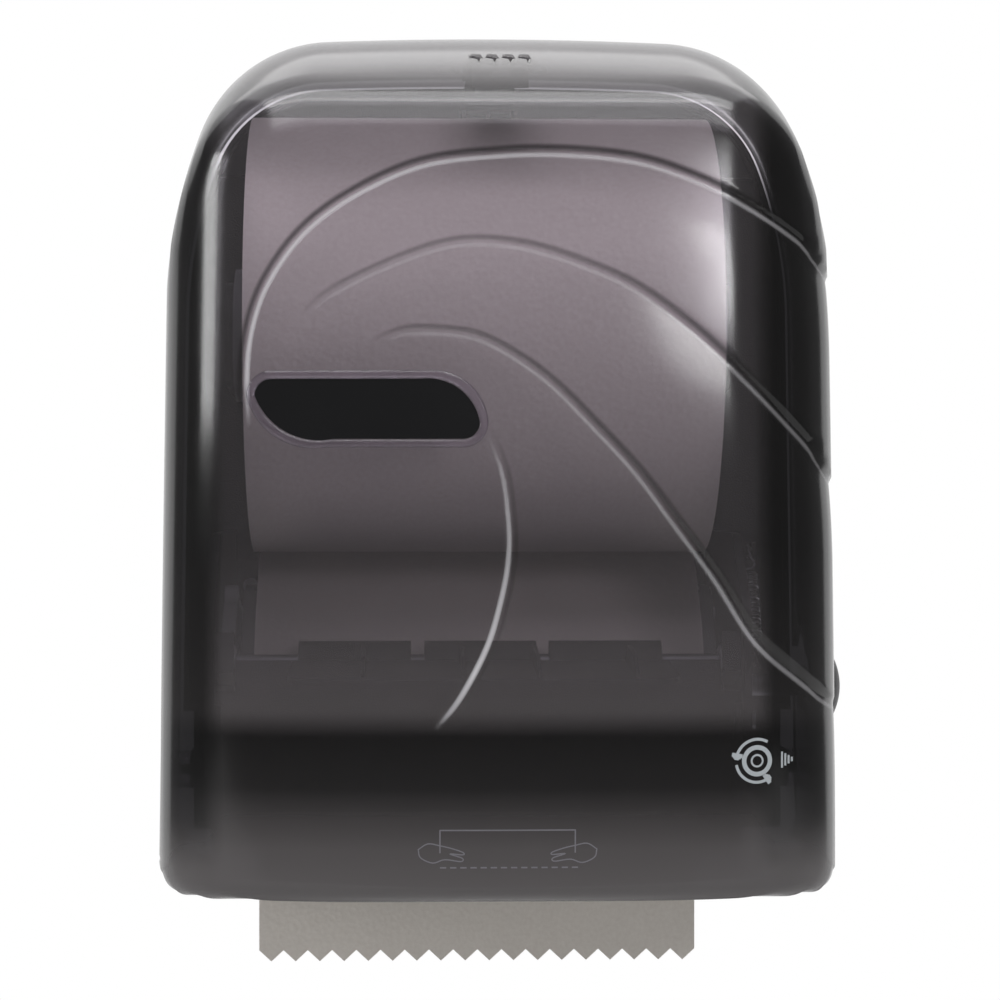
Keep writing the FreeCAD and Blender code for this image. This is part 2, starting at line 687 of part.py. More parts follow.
def back_plate():
    """The wall plate: rim, ribs, wall bosses, hinge ears, latch keeper and the right arm's lugs."""
    front = PLATE_FRONT
    plate = plate_form(0, front, 0)
    rim = plate_form(0, -PLATE_RIM_DEPTH, front).cut(plate_form(PLATE_RIM_T, -PLATE_RIM_DEPTH - 1, front))
    plate = plate.fuse(rim)
    inside = plate_form(PLATE_RIM_T / 2, front - RIB_H, front)
    half = RIB_T / 2
    for x in RIB_X:
        plate = plate.fuse(box(x - half, x + half, front - RIB_H, front, BOTTOM_Z, KEEPER_Z - 9).common(inside))
    for z in RIB_Z:
        plate = plate.fuse(box(-HALF_WIDTH, HALF_WIDTH, front - RIB_H, front, z - half, z + half).common(inside))
    for side in (LEFT, RIGHT):
        for z in (-WALL_HOLE_Z / 2, WALL_HOLE_Z / 2):
            x = side * WALL_HOLE_X / 2
            boss = Part.makeCylinder(WALL_BOSS_R, WALL_BOSS_H, vec(x, front - WALL_BOSS_H, z), Y_AXIS)
            hole = Part.makeCylinder(WALL_HOLE_R, 20, vec(x, -15, z), Y_AXIS)
            plate = plate.fuse(boss).cut(hole)
        a, b = sorted((side * HINGE_EAR_X, side * (HINGE_EAR_X + HINGE_EAR_T)))
        ear = box(a, b, HINGE_Y, front, HINGE_Z - HINGE_LUG_R, HINGE_Z + HINGE_LUG_R)
        ear = ear.fuse(rod(a, b, HINGE_Y, HINGE_Z, HINGE_LUG_R))
        ear = ear.cut(rod(a - 1, b + 1, HINGE_Y, HINGE_Z, HINGE_PIN_R + PRESS_GAP))
        plate = plate.fuse(ear)
    for z0, z1 in ((ROLL_Z + ARM_KNUCKLE_HALF + ARM_LUG_GAP, ROLL_Z + ARM_LUG_HALF),
                   (ROLL_Z - ARM_LUG_HALF, ROLL_Z - ARM_KNUCKLE_HALF - ARM_LUG_GAP)):
        lug = box(ARM_PIN_X - ARM_KNUCKLE_R, ARM_PIN_X + ARM_KNUCKLE_R, ARM_PIN_Y, front, z0, z1)
        lug = lug.fuse(Part.makeCylinder(ARM_KNUCKLE_R, z1 - z0, vec(ARM_PIN_X, ARM_PIN_Y, z0)))
        lug = lug.cut(Part.makeCylinder(ARM_PIN_R + PRESS_GAP, z1 - z0 + 2, vec(ARM_PIN_X, ARM_PIN_Y, z0 - 1)))
        plate = plate.fuse(lug)
    shelf = box(-KEEPER_HALF, KEEPER_HALF, KEEPER_Y, front, KEEPER_Z - KEEPER_T, KEEPER_Z)
    plate = plate.fuse(shelf)
    for x in (-KEEPER_HALF + 2, 0, KEEPER_HALF - 2):
        gusset = side_prism(x - half, x + half, [(KEEPER_Y + 1, KEEPER_Z - KEEPER_T), (front, KEEPER_Z - KEEPER_T),
                                                 (front, KEEPER_Z - KEEPER_T - 12)])
        plate = plate.fuse(gusset)
    for place in foot_screws():
        plate = plate.cut(screw_hole(place, Y_AXIS, SCREW_LENGTH))
    return plate.removeSplitter()


def cheek_profile(x0, x1):
    """The side outline of a cheek with rounded corners."""
    top, bottom, front = DRUM_Z + CHEEK_TOP, DRUM_Z - CHEEK_BOTTOM, DRUM_Y - CHEEK_FRONT
    points = [(PLATE_FRONT, bottom + 12), (DRUM_Y + 30, bottom), (DRUM_Y - 35, bottom), (front, DRUM_Z - 25),
              (front, DRUM_Z + 40), (DRUM_Y - 40, top), (PLATE_FRONT, top)]
    panel = side_prism(x0, x1, points)
    corner = lambda e: along(e, X_AXIS) and e.BoundBox.YMax < PLATE_FRONT - 1
    return round_edges(panel, CHEEK_CORNER_R, corner)


def pinch_housing(x0, x1):
    """The open pocket on a cheek that holds a sliding block and its spring."""
    half = BLOCK_SIDE / 2 + BLOCK_SLACK
    near, far = PINCH_DISTANCE - half, PINCH_DISTANCE + half + PINCH_SPRING_LENGTH
    wall = BLOCK_HOUSING_WALL
    ring = lambda a, b, c: [at_pinch(a, -c), at_pinch(b, -c), at_pinch(b, c), at_pinch(a, c)]
    outer = side_prism(x0, x1, ring(near - wall, far + wall, half + wall))
    return outer.cut(side_prism(x0 - 1, x1 + 1, ring(near, far, half)))


def cam_lugs(radius, x0, x1):
    """Three round lugs on the cam plate's rim."""
    places = [math.radians(a) for a in CAM_LUG_ANGLES]
    reach = CAM_R + 2
    return [rod(x0, x1, DRUM_Y - reach * math.sin(a), DRUM_Z + reach * math.cos(a), radius) for a in places]


def guide_screw_places():
    """Where the guide screws pass through a cheek, as (y, z)."""
    middle = GUARD_R + GUIDE_T + 4
    places = []
    for angle in GUARD_SCREW_ANGLES:
        a = math.radians(angle)
        places.append((DRUM_Y - middle * math.sin(a), DRUM_Z + middle * math.cos(a)))
    places.append((EXIT_REAR_Y - 6, EXIT_TOP_Z - 5))
    return places


def cheek(side):
    """An upright cheek: rounded outline, bush bore, holes, a foot on the plate and the pinch housing."""
    x0 = CHEEK_LEFT_X - CHEEK_T if side == LEFT else CHEEK_RIGHT_X
    x1 = x0 + CHEEK_T
    foot = box(x0, x1 + CHEEK_FOOT, PLATE_FRONT - CHEEK_FOOT_T, PLATE_FRONT,
               DRUM_Z + CHEEK_SCREW_DZ[0] - 12, DRUM_Z + CHEEK_SCREW_DZ[1] + 12)
    body = cheek_profile(x0, x1).fuse(foot)
    if side == LEFT:
        body = body.fuse(pinch_housing(x1, x1 + BLOCK_HOUSING_T))
    else:
        body = body.fuse(pinch_housing(x0 - BLOCK_HOUSING_T, x0))
        post_y, post_z = DRUM_Y + ANCHOR_OFFSET[0], DRUM_Z + ANCHOR_OFFSET[1]
        post = rod(x1, SPRING_X - SPRING_POST_GAP, post_y, post_z, ANCHOR_R + 2)
        neck = rod(x1, SPRING_X + SPRING_POST_GAP, post_y, post_z, ANCHOR_R)
        cap = rod(SPRING_X + SPRING_POST_GAP, SPRING_X + SPRING_POST_GAP + 1.5, post_y, post_z, ANCHOR_R + 2)
        body = body.fuse([post, neck, cap])
    body = body.cut(rod(x0 - 1, x1 + 1, DRUM_Y, DRUM_Z, BUSH_R))
    for dy, dz, r in CHEEK_HOLES:
        body = body.cut(rod(x0 - 1, x1 + 1, DRUM_Y + dy, DRUM_Z + dz, r))
    for y, z in guide_screw_places():
        body = body.cut(rod(x0 - 1, x1 + 1, y, z, SCREW_R + FIT_GAP))
    if side == LEFT:
        for hole in cam_lugs(SCREW_R + FIT_GAP, x0 - 1, x1 + 1):
            body = body.cut(hole)
    for place in foot_screws():
        body = body.cut(screw_hole(place, Y_AXIS, SCREW_LENGTH))
    return body.removeSplitter()


def bearing(side):
    """A flanged bush in a cheek, its flange outside."""
    x0 = CHEEK_LEFT_X - CHEEK_T if side == LEFT else CHEEK_RIGHT_X
    x1 = x0 + CHEEK_T
    a, b = (x0 - BUSH_FLANGE_T, x0) if side == LEFT else (x1, x1 + BUSH_FLANGE_T)
    body = rod(x0, x1, DRUM_Y, DRUM_Z, BUSH_R).fuse(rod(a, b, DRUM_Y, DRUM_Z, BUSH_FLANGE_R))
    body = body.cut(rod(x0 - 9, x1 + 9, DRUM_Y, DRUM_Z, SHAFT_R + RUN_CLEARANCE))
    return body.removeSplitter()


def cam_plate():
    """The fixed plate on the left cheek, with the track that the knife's roller runs in."""
    lugs = cam_lugs(CAM_LUG_R, CHEEK_LEFT_X, CAM_FACE_X)
    body = rod(CHEEK_LEFT_X, CAM_FACE_X, DRUM_Y, DRUM_Z, CAM_R).fuse(lugs)
    floor = CHEEK_LEFT_X + CAM_FLOOR_T
    body = body.cut(tube(floor, CAM_FACE_X + 1, DRUM_Y, DRUM_Z, CAM_TRACK_R, CAM_HUB_R))
    body = body.cut(rod(CHEEK_LEFT_X - 1, CAM_FACE_X + 1, DRUM_Y, DRUM_Z, SHAFT_R + 1))
    for hole in cam_lugs(SCREW_R + FIT_GAP, CHEEK_LEFT_X - 1, CAM_FACE_X + 1):
        body = body.cut(hole)
    return body.removeSplitter()


def front_guide():
    """The ribbed shelf and the curved guard that lead the towel round the front of the drum."""
    outer_r = GUARD_R + GUIDE_T
    narrow = BLOCK_HOUSING_T + 0.5
    left, right = CHEEK_LEFT_X, CHEEK_RIGHT_X
    guard = ring_sector(left + narrow, right - narrow, outer_r, GUARD_R, GUARD_TOP_ANGLE, GUARD_WIDE_ANGLE)
    guard = guard.fuse(ring_sector(left, right, outer_r, GUARD_R, GUARD_WIDE_ANGLE, GUARD_END_ANGLE))
    first, last = GUARD_SCREW_ANGLES[0] - 6, GUARD_SCREW_ANGLES[1] + 6
    for a, b in ((left, left + 3), (right - 3, right)):
        guard = guard.fuse(ring_sector(a, b, outer_r + 8, GUARD_R, first, last))
    top = math.radians(GUARD_TOP_ANGLE)
    rear_y = DRUM_Y - (GUARD_R + GUIDE_T / 2) * math.sin(top)
    rear_z = DRUM_Z + (GUARD_R + GUIDE_T / 2) * math.cos(top)
    middle_x = PAPER_CENTRE_X
    half = GUIDE_WIDTH / 2
    slope = (rear_z - GUIDE_FRONT_Z) / (rear_y - GUIDE_FRONT_Y)
    shelf = side_prism(middle_x - half, middle_x + half, [
        (GUIDE_FRONT_Y, GUIDE_FRONT_Z), (rear_y, rear_z), (rear_y, rear_z - GUIDE_T), (GUIDE_FRONT_Y, GUIDE_FRONT_Z - GUIDE_T)])
    corner = lambda e: along(e, Z_AXIS) and e.BoundBox.YMax < GUIDE_FRONT_Y + 1
    shelf = round_edges(shelf, 16, corner)
    guard = guard.fuse(shelf)
    for x in GUIDE_RIB_X:
        rib_front = GUIDE_FRONT_Y + 9
        rib_z = GUIDE_FRONT_Z + slope * 9
        rib = side_prism(x - GUIDE_RIB_T / 2, x + GUIDE_RIB_T / 2, [
            (rib_front, rib_z - 1), (rear_y, rear_z - 1), (rear_y, rear_z + 2),
            (rear_y - 12, rear_z + GUIDE_RIB_H - 1), (rib_front + 14, rib_z + GUIDE_RIB_H), (rib_front, rib_z + 3)])
        guard = guard.fuse(rib)
    for y, z in guide_screw_places()[:2]:
        guard = guard.cut(rod(left - 1, right + 1, y, z, SCREW_R + FIT_GAP))
    return guard.removeSplitter()


def exit_guide():
    """The lip behind the towel where it leaves, with its shelf and end plates between the cheeks."""
    lip_y = TAIL_Y + WEB_T / 2 + WEB_GAP
    left, right = CHEEK_LEFT_X, CHEEK_RIGHT_X
    lip = side_prism(left, right, [(lip_y, EXIT_TOP_Z), (lip_y, EXIT_BOTTOM_Z), (lip_y + EXIT_T, EXIT_BOTTOM_Z),
                                   (lip_y + EXIT_T, EXIT_TOP_Z - EXIT_T), (EXIT_REAR_Y, EXIT_TOP_Z - EXIT_T),
                                   (EXIT_REAR_Y, EXIT_TOP_Z)])
    bend = lambda e: along(e, X_AXIS) and abs(e.BoundBox.Center.y - lip_y) < 0.1 and e.BoundBox.ZMax > EXIT_TOP_Z - 1
    lip = round_edges(lip, 2.2, bend)
    for a, b in ((left, left + 3), (right - 3, right)):
        lip = lip.fuse(box(a, b, EXIT_REAR_Y - 12, EXIT_REAR_Y, EXIT_TOP_Z - 10, EXIT_TOP_Z))
    for x in (-75, -25, 25, 75):
        web = side_prism(x - 1, x + 1, [(lip_y + EXIT_T, EXIT_TOP_Z - EXIT_T), (lip_y + EXIT_T, EXIT_BOTTOM_Z + 2),
                                        (lip_y + EXIT_T + 14, EXIT_TOP_Z - EXIT_T)])
        lip = lip.fuse(web)
    y, z = guide_screw_places()[2]
    lip = lip.cut(rod(left - 1, left + 5, y, z, SCREW_R + FIT_GAP))
    lip = lip.cut(rod(right - 5, right + 1, y, z, SCREW_R + FIT_GAP))
    return lip.removeSplitter()


def roll_arm(side):
    """An arm that carries one end of the roll: the left one has a foot, the right one a knuckle."""
    x0 = ARM_LEFT_X if side == LEFT else ARM_RIGHT_X
    x1 = x0 + ARM_T
    root_y = PLATE_FRONT if side == LEFT else ARM_PIN_Y - ARM_KNUCKLE_R - 4
    half = ARM_ROOT_HEIGHT / 2
    reach = ROLL_Y
    lean = math.asin((half - ARM_TIP_R) / (root_y - reach))
    t_y, t_z = reach + ARM_TIP_R * math.sin(lean), ARM_TIP_R * math.cos(lean)
    panel = side_prism(x0, x1, [(root_y, ROLL_Z + half), (t_y, ROLL_Z + t_z), (t_y, ROLL_Z - t_z), (root_y, ROLL_Z - half)])
    panel = panel.fuse(rod(x0, x1, reach, ROLL_Z, ARM_TIP_R))
    slot = side_prism(x0 - 1, x1 + 1, [(root_y - 18, ROLL_Z + 12), (reach + 34, ROLL_Z + 9),
                                       (reach + 34, ROLL_Z - 9), (root_y - 18, ROLL_Z - 12)])
    panel = panel.cut(round_edges(slot, 5, lambda e: along(e, X_AXIS)))
    panel = panel.cut(rod(x0 - 1, x1 + 1, reach, ROLL_Z, HUB_SPIGOT_R + PRESS_GAP))
    if side == LEFT:
        foot = box(x0, x1 + ARM_FOOT, PLATE_FRONT - CHEEK_FOOT_T, PLATE_FRONT, ROLL_Z - half, ROLL_Z + half)
        panel = panel.fuse(foot)
        for place in foot_screws():
            panel = panel.cut(screw_hole(place, Y_AXIS, SCREW_LENGTH))
        return panel.removeSplitter()
    low, high = ROLL_Z - ARM_KNUCKLE_HALF + ARM_SPRING_ROOM, ROLL_Z + ARM_KNUCKLE_HALF
    knuckle = Part.makeCylinder(ARM_KNUCKLE_R, high - low, vec(ARM_PIN_X, ARM_PIN_Y, low))
    link = box(x0, x1, root_y, ARM_PIN_Y, low, high)
    panel = panel.fuse([knuckle, link])
    panel = panel.cut(Part.makeCylinder(ARM_PIN_R + RUN_CLEARANCE, high - low + 2, vec(ARM_PIN_X, ARM_PIN_Y, low - 1)))
    return panel.removeSplitter()


def roll_hub(side):
    """A hub that plugs the roll's core: flange against the arm, tapered plug inwards, spigot in the arm."""
    face = PAPER_LEFT - HUB_END_GAP if side == LEFT else PAPER_RIGHT + HUB_END_GAP
    x = lambda depth: face - side * depth
    a, b = sorted((x(0), x(-HUB_FLANGE_T)))
    flange = rod(a, b, ROLL_Y, ROLL_Z, HUB_FLANGE_R)
    rim = lambda e: e.Curve.TypeId == "Part::GeomCircle" and abs(e.BoundBox.Center.x - face) < 0.1
    flange = flange.makeChamfer(HUB_CHAMFER, [e for e in flange.Edges if rim(e)])
    plug = Part.makeCone(CORE_R - HUB_PLAY, HUB_TIP_R, HUB_DEPTH, vec(face, ROLL_Y, ROLL_Z), X_AXIS * -side)
    a, b = sorted((x(-HUB_FLANGE_T), x(-HUB_FLANGE_T - ARM_T)))
    spigot = rod(a, b, ROLL_Y, ROLL_Z, HUB_SPIGOT_R)
    hollow = Part.makeCone(CORE_R - HUB_PLAY - 3, HUB_TIP_R - 3, HUB_DEPTH + 1, vec(face, ROLL_Y, ROLL_Z), X_AXIS * -side)
    return flange.fuse([plug, spigot]).cut(hollow).removeSplitter()


def arm_pivot_pin():
    """The upright pin of the right arm, with a head on top."""
    z0, z1 = ROLL_Z - ARM_LUG_HALF - 2, ROLL_Z + ARM_LUG_HALF
    pin = Part.makeCylinder(ARM_PIN_R, z1 - z0, vec(ARM_PIN_X, ARM_PIN_Y, z0))
    return pin.fuse(Part.makeCylinder(ARM_PIN_R + 1.5, 1.5, vec(ARM_PIN_X, ARM_PIN_Y, z1)))


def cover_hinge_pins():
    """Two headed pins that join the cover's lugs to the plate's ears."""
    pins = []
    for side in (LEFT, RIGHT):
        a, b = sorted((side * HINGE_EAR_X, side * (HINGE_LUG_X + HINGE_LUG_T - COVER_WALL)))
        pin = rod(a, b, HINGE_Y, HINGE_Z, HINGE_PIN_R)
        a, b = sorted((side * HINGE_EAR_X, side * (HINGE_EAR_X - 2)))
        pins.append(pin.fuse(rod(a, b, HINGE_Y, HINGE_Z, HINGE_PIN_R + 1.8)))
    return Part.makeCompound(pins)


def pinch_bearings():
    """The two blocks that carry the pinch roller's shaft."""
    half = BLOCK_SIDE / 2
    blocks = []
    for x0 in (CHEEK_LEFT_X, CHEEK_RIGHT_X - BLOCK_HOUSING_T):
        near, far = PINCH_DISTANCE - half, PINCH_DISTANCE + half
        block = side_prism(x0, x0 + BLOCK_HOUSING_T, [at_pinch(near, -half), at_pinch(far, -half),
                                                      at_pinch(far, half), at_pinch(near, half)])
        bore = rod(x0 - 1, x0 + 9, *at_pinch(PINCH_DISTANCE, 0), PINCH_SHAFT_R + RUN_CLEARANCE)
        blocks.append(block.cut(bore))
    return Part.makeCompound(blocks)


def pinch_shaft():
    """The pinch roller's steel shaft."""
    return rod(CHEEK_LEFT_X + 0.5, CHEEK_RIGHT_X - 0.5, *at_pinch(PINCH_DISTANCE, 0), PINCH_SHAFT_R)


def pinch_sleeves():
    """Rubber sleeves along the pinch shaft."""
    pitch = PINCH_SLEEVE_LENGTH + 6
    sleeves = []
    for n in range(PINCH_SLEEVE_COUNT):
        x = PAPER_CENTRE_X + (n - (PINCH_SLEEVE_COUNT - 1) / 2) * pitch
        sleeves.append(tube(x - PINCH_SLEEVE_LENGTH / 2, x + PINCH_SLEEVE_LENGTH / 2,
                            *at_pinch(PINCH_DISTANCE, 0), PINCH_R, PINCH_SHAFT_R + PRESS_GAP))
    return Part.makeCompound(sleeves)


def drum_form(u_side):
    """One half of the drum's shell, split by the plane across the slot's direction, with its screw bosses."""
    shell = tube(DRUM_LEFT, DRUM_RIGHT, DRUM_Y, DRUM_Z, DRUM_R, DRUM_R - DRUM_WALL)
    for angle in DRUM_BOSS_ANGLES:
        a = math.radians(angle)
        y, z = at_drum(DRUM_BOSS_REACH * math.cos(a), DRUM_BOSS_REACH * math.sin(a))
        first = DRUM_LEFT + CAP_INSET + CAP_T
        last = DRUM_RIGHT - CAP_INSET - CAP_T
        for a, b in ((first, first + DRUM_BOSS_LENGTH), (last - DRUM_BOSS_LENGTH, last)):
            shell = shell.fuse(rod(a, b, y, z, DRUM_BOSS_R))
        shell = shell.cut(rod(first - 1, last + 1, y, z, SCREW_R).cut(
            rod(first + 12, last - 12, y, z, SCREW_R + 1)))
    far = DRUM_R + 5
    keep = [at_drum(0.02 * u_side, -far), at_drum(0.02 * u_side, far), at_drum(far * u_side, far), at_drum(far * u_side, -far)]
    return shell.common(side_prism(DRUM_LEFT - 1, DRUM_RIGHT + 1, keep))


def band_places():
    """The middles of the friction bands along the drum."""
    pitch = (PAPER_WIDTH - BAND_WIDTH) / (BAND_COUNT - 1)
    return [PAPER_LEFT + BAND_WIDTH / 2 + n * pitch for n in range(BAND_COUNT)]


def drum_shell(u_side):
    """Half of the drum: the half that faces the slot's direction has the slot, both have band grooves."""
    shell = drum_form(u_side)
    for x in band_places():
        half = BAND_WIDTH / 2 + FIT_GAP
        groove = tube(x - half, x + half, DRUM_Y, DRUM_Z, DRUM_R + 1, DRUM_R + BAND_PROUD - BAND_T)
        if u_side == 1:
            groove = groove.cut(slot_wedge(x - half - 1, x + half + 1, BAND_OPEN_ANGLE - 0.5))
        shell = shell.cut(groove)
    if u_side == 1:
        w = DRUM_SLOT_HALF_WIDTH
        shell = shell.cut(side_prism(SLOT_LEFT, SLOT_RIGHT, [at_drum(20, -w), at_drum(60, -w), at_drum(60, w), at_drum(20, w)]))
    return shell.removeSplitter()


def slot_wedge(x0, x1, angle):
    """A wedge from the drum's axis, centred on the slot's direction."""
    reach = 80
    w = reach * math.tan(math.radians(angle))
    return side_prism(x0, x1, [at_drum(0, 0), at_drum(reach, -w), at_drum(reach, w)])


def friction_bands():
    """Rubber bands round the drum, open over the slot."""
    bands = []
    for x in band_places():
        half = BAND_WIDTH / 2
        band = tube(x - half, x + half, DRUM_Y, DRUM_Z, BAND_OUTER_R, BAND_OUTER_R - BAND_T)
        bands.append(band.cut(slot_wedge(x - half - 1, x + half + 1, BAND_OPEN_ANGLE)))
    return Part.makeCompound(bands)


def drum_boss_centres():
    """The (y, z) of the four screw bosses of the drum."""
    turns = [math.radians(a) for a in DRUM_BOSS_ANGLES]
    return [at_drum(DRUM_BOSS_REACH * math.cos(a), DRUM_BOSS_REACH * math.sin(a)) for a in turns]


def drum_cap(side):
    """An end cap inside the drum's shell, with a hub on the shaft and the knife's bearing hole."""
    outer_x = DRUM_LEFT + CAP_INSET if side == LEFT else DRUM_RIGHT - CAP_INSET
    inner_x = outer_x - side * CAP_T
    a, b = sorted((outer_x, inner_x))
    cap = rod(a, b, DRUM_Y, DRUM_Z, DRUM_R - DRUM_WALL - FIT_GAP)
    a, b = sorted((outer_x, inner_x - side * 8))
    cap = cap.fuse(rod(a, b, DRUM_Y, DRUM_Z, SHAFT_R + 4))
    cap = cap.cut(rod(a - 9, b + 9, DRUM_Y, DRUM_Z, SHAFT_R + PRESS_GAP))
    cap = cap.cut(rod(a - 9, b + 9, *at_drum(*KNIFE_PIVOT), KNIFE_STUB_R + RUN_CLEARANCE))
    for y, z in drum_boss_centres():
        cap = cap.cut(rod(a - 9, b + 9, y, z, SCREW_R + FIT_GAP))
    for u, t in ((-16, 18), (-16, -18), (-24, 0)):
        cap = cap.cut(rod(a - 9, b + 9, *at_drum(u, t), 5.5))
    return cap.removeSplitter()


def drum_screws():
    """The screws that hold the caps in the drum's shells."""
    screws = []
    for side in (LEFT, RIGHT):
        seat_x = DRUM_LEFT + CAP_INSET if side == LEFT else DRUM_RIGHT - CAP_INSET
        for y, z in drum_boss_centres():
            screws.append(screw(vec(seat_x, y, z), X_AXIS * -side, CAP_T + 9))
    return Part.makeCompound(screws)


def drum_shaft():
    """The drum's steel shaft, from the left bush to the knob."""
    left = CHEEK_LEFT_X - CHEEK_T - BUSH_FLANGE_T - 1
    shaft = rod(left, KNOB_X + KNOB_SEAT, DRUM_Y, DRUM_Z, SHAFT_R)
    return shaft.cut(rod(KNOB_X - 6, KNOB_X + KNOB_SEAT + 1, DRUM_Y, DRUM_Z, KNOB_SCREW_R))


def return_crank():
    """The crank on the right end of the shaft, whose pin the return spring pulls."""
    pin_y, pin_z = crank_pin()
    x0, x1 = CRANK_X, CRANK_X + CRANK_T
    body = rod(x0, x1, DRUM_Y, DRUM_Z, CRANK_R).fuse(rod(x0, x1, pin_y, pin_z, CRANK_PIN_R + 2.5))
    reach = math.hypot(*ANCHOR_OFFSET)
    across = (-ANCHOR_OFFSET[1] / reach, ANCHOR_OFFSET[0] / reach)
    side_a, side_b = CRANK_R - 0.5, CRANK_PIN_R + 2.3
    bar = side_prism(x0, x1, [(DRUM_Y + across[0] * side_a, DRUM_Z + across[1] * side_a),
                              (pin_y + across[0] * side_b, pin_z + across[1] * side_b),
                              (pin_y - across[0] * side_b, pin_z - across[1] * side_b),
                              (DRUM_Y - across[0] * side_a, DRUM_Z - across[1] * side_a)])
    head_x = SPRING_X + SPRING_POST_GAP
    body = body.fuse([bar, rod(x1, head_x, pin_y, pin_z, CRANK_PIN_R), rod(head_x, head_x + 1.2, pin_y, pin_z, CRANK_PIN_R + 1.5)])
    return body.cut(rod(x0 - 1, x1 + 1, DRUM_Y, DRUM_Z, SHAFT_R + PRESS_GAP)).removeSplitter()


def crank_pin():
    """The (y, z) of the crank's pin at rest, on the line to the spring's anchor."""
    reach = math.hypot(*ANCHOR_OFFSET)
    return DRUM_Y + CRANK_THROW * ANCHOR_OFFSET[0] / reach, DRUM_Z + CRANK_THROW * ANCHOR_OFFSET[1] / reach


def feed_knob():
    """The domed knob outside the cover, with scallops round its rim."""
    skirt = rod(KNOB_X, KNOB_X + KNOB_SKIRT, DRUM_Y, DRUM_Z, KNOB_R)
    rise = KNOB_DOME - KNOB_SKIRT
    ball_r = (KNOB_R**2 + rise**2) / (2 * rise)
    ball = Part.makeSphere(ball_r, vec(KNOB_X + KNOB_DOME - ball_r, DRUM_Y, DRUM_Z))
    dome = ball.common(rod(KNOB_X + KNOB_SKIRT, KNOB_X + KNOB_DOME, DRUM_Y, DRUM_Z, KNOB_R))
    knob = skirt.fuse(dome)
    for n in range(KNOB_SCALLOPS):
        a = math.radians(360 * n / KNOB_SCALLOPS)
        y = DRUM_Y + (KNOB_R + 0.9) * math.cos(a)
        z = DRUM_Z + (KNOB_R + 0.9) * math.sin(a)
        knob = knob.cut(rod(KNOB_X - 1, KNOB_X + KNOB_DOME, y, z, KNOB_SCALLOP_R))
    knob = knob.cut(rod(KNOB_X - 1, KNOB_X + KNOB_SEAT, DRUM_Y, DRUM_Z, SHAFT_R + PRESS_GAP))
    knob = knob.cut(rod(KNOB_X - 1, KNOB_X + 20, DRUM_Y, DRUM_Z, KNOB_SCREW_R + FIT_GAP))
    return knob.cut(rod(KNOB_X + KNOB_SEAT + 2, KNOB_X + 20, DRUM_Y, DRUM_Z, KNOB_SCREW_R + 1.6))


def knob_screw():
    """The screw that holds the knob on the shaft's end."""
    seat = KNOB_X + KNOB_SEAT + 2
    shank = rod(KNOB_X - 5, seat, DRUM_Y, DRUM_Z, KNOB_SCREW_R - PRESS_GAP)
    return shank.fuse(rod(seat, seat + 1.4, DRUM_Y, DRUM_Z, KNOB_SCREW_R + 1.4))


def at_knife(along_arm, across):
    """The (y, z) of a place given along the knife from its pivot and across it, towards the opening side."""
    length = math.hypot(*KNIFE_REACH)
    du, dt = KNIFE_REACH[0] / length, KNIFE_REACH[1] / length
    u = KNIFE_PIVOT[0] + along_arm * du + across * dt
    t = KNIFE_PIVOT[1] + along_arm * dt - across * du
    return at_drum(u, t)


def knife_plate(x0, x1, a0, a1, c0, c1):
    """A flat bar along the knife."""
    return side_prism(x0, x1, [at_knife(a0, c0), at_knife(a1, c0), at_knife(a1, c1), at_knife(a0, c1)])


def knife_carrier():
    """The bar that swings the blade: trunnions in the caps and the follower arm outside the left cap."""
    pivot = at_drum(*KNIFE_PIVOT)
    first = DRUM_LEFT + CAP_INSET + CAP_T + 0.3
    last = DRUM_RIGHT - CAP_INSET - CAP_T - 0.3
    body = rod(first, last, *pivot, KNIFE_BOSS_R)
    body = body.fuse(knife_plate(PAPER_LEFT, PAPER_RIGHT, 0, KNIFE_ARM_REACH, -KNIFE_ARM_T, 0))
    stub_end = DRUM_RIGHT + KNIFE_SPRING_ROOM
    body = body.fuse(rod(FOLLOWER_ARM_X, stub_end, *pivot, KNIFE_STUB_R))
    roller = follower_centre()
    x0, x1 = FOLLOWER_ARM_X, FOLLOWER_ARM_X + FOLLOWER_ARM_T
    dy, dz = roller[0] - pivot[0], roller[1] - pivot[1]
    reach = math.hypot(dy, dz)
    ny, nz = -dz / reach * (KNIFE_STUB_R + 1), dy / reach * (KNIFE_STUB_R + 1)
    arm = side_prism(x0, x1, [(pivot[0] + ny, pivot[1] + nz), (roller[0] + ny, roller[1] + nz),
                              (roller[0] - ny, roller[1] - nz), (pivot[0] - ny, pivot[1] - nz)])
    ends = [rod(x0, x1, *p, KNIFE_STUB_R + 1) for p in (pivot, roller)]
    pin = rod(CHEEK_LEFT_X + CAM_FLOOR_T + 0.3, x0, *roller, FOLLOWER_PIN_R)
    body = body.fuse([arm, pin] + ends)
    for x in blade_screw_places():
        hole = Part.makeCylinder(BLADE_SCREW_R, 20, vec(0, 0, -10))
        body = body.cut(place_on_knife(hole, x))
    return body.removeSplitter()


def follower_centre():
    """The (y, z) of the cam roller at rest."""
    return at_drum(KNIFE_PIVOT[0] + FOLLOWER_ARM[0], KNIFE_PIVOT[1] + FOLLOWER_ARM[1])


def blade_screw_places():
    """The blade's screws along X."""
    return [PAPER_CENTRE_X + dx for dx in (-90, -45, 0, 45, 90)]


def place_on_knife(shape, x):
    """The shape, whose Z is out of the blade's face, put at the blade's screws."""
    y0, z0 = at_knife(0, 0)
    y1, z1 = at_knife(0, 1)
    out = vec(0, y1 - y0, z1 - z0)
    y, z = at_knife(KNIFE_ARM_REACH - BLADE_BACK / 2 - 1, 0)
    shape.Placement = FreeCAD.Placement(vec(x, y, z), FreeCAD.Rotation(Z_AXIS, out)).multiply(shape.Placement)
    return shape


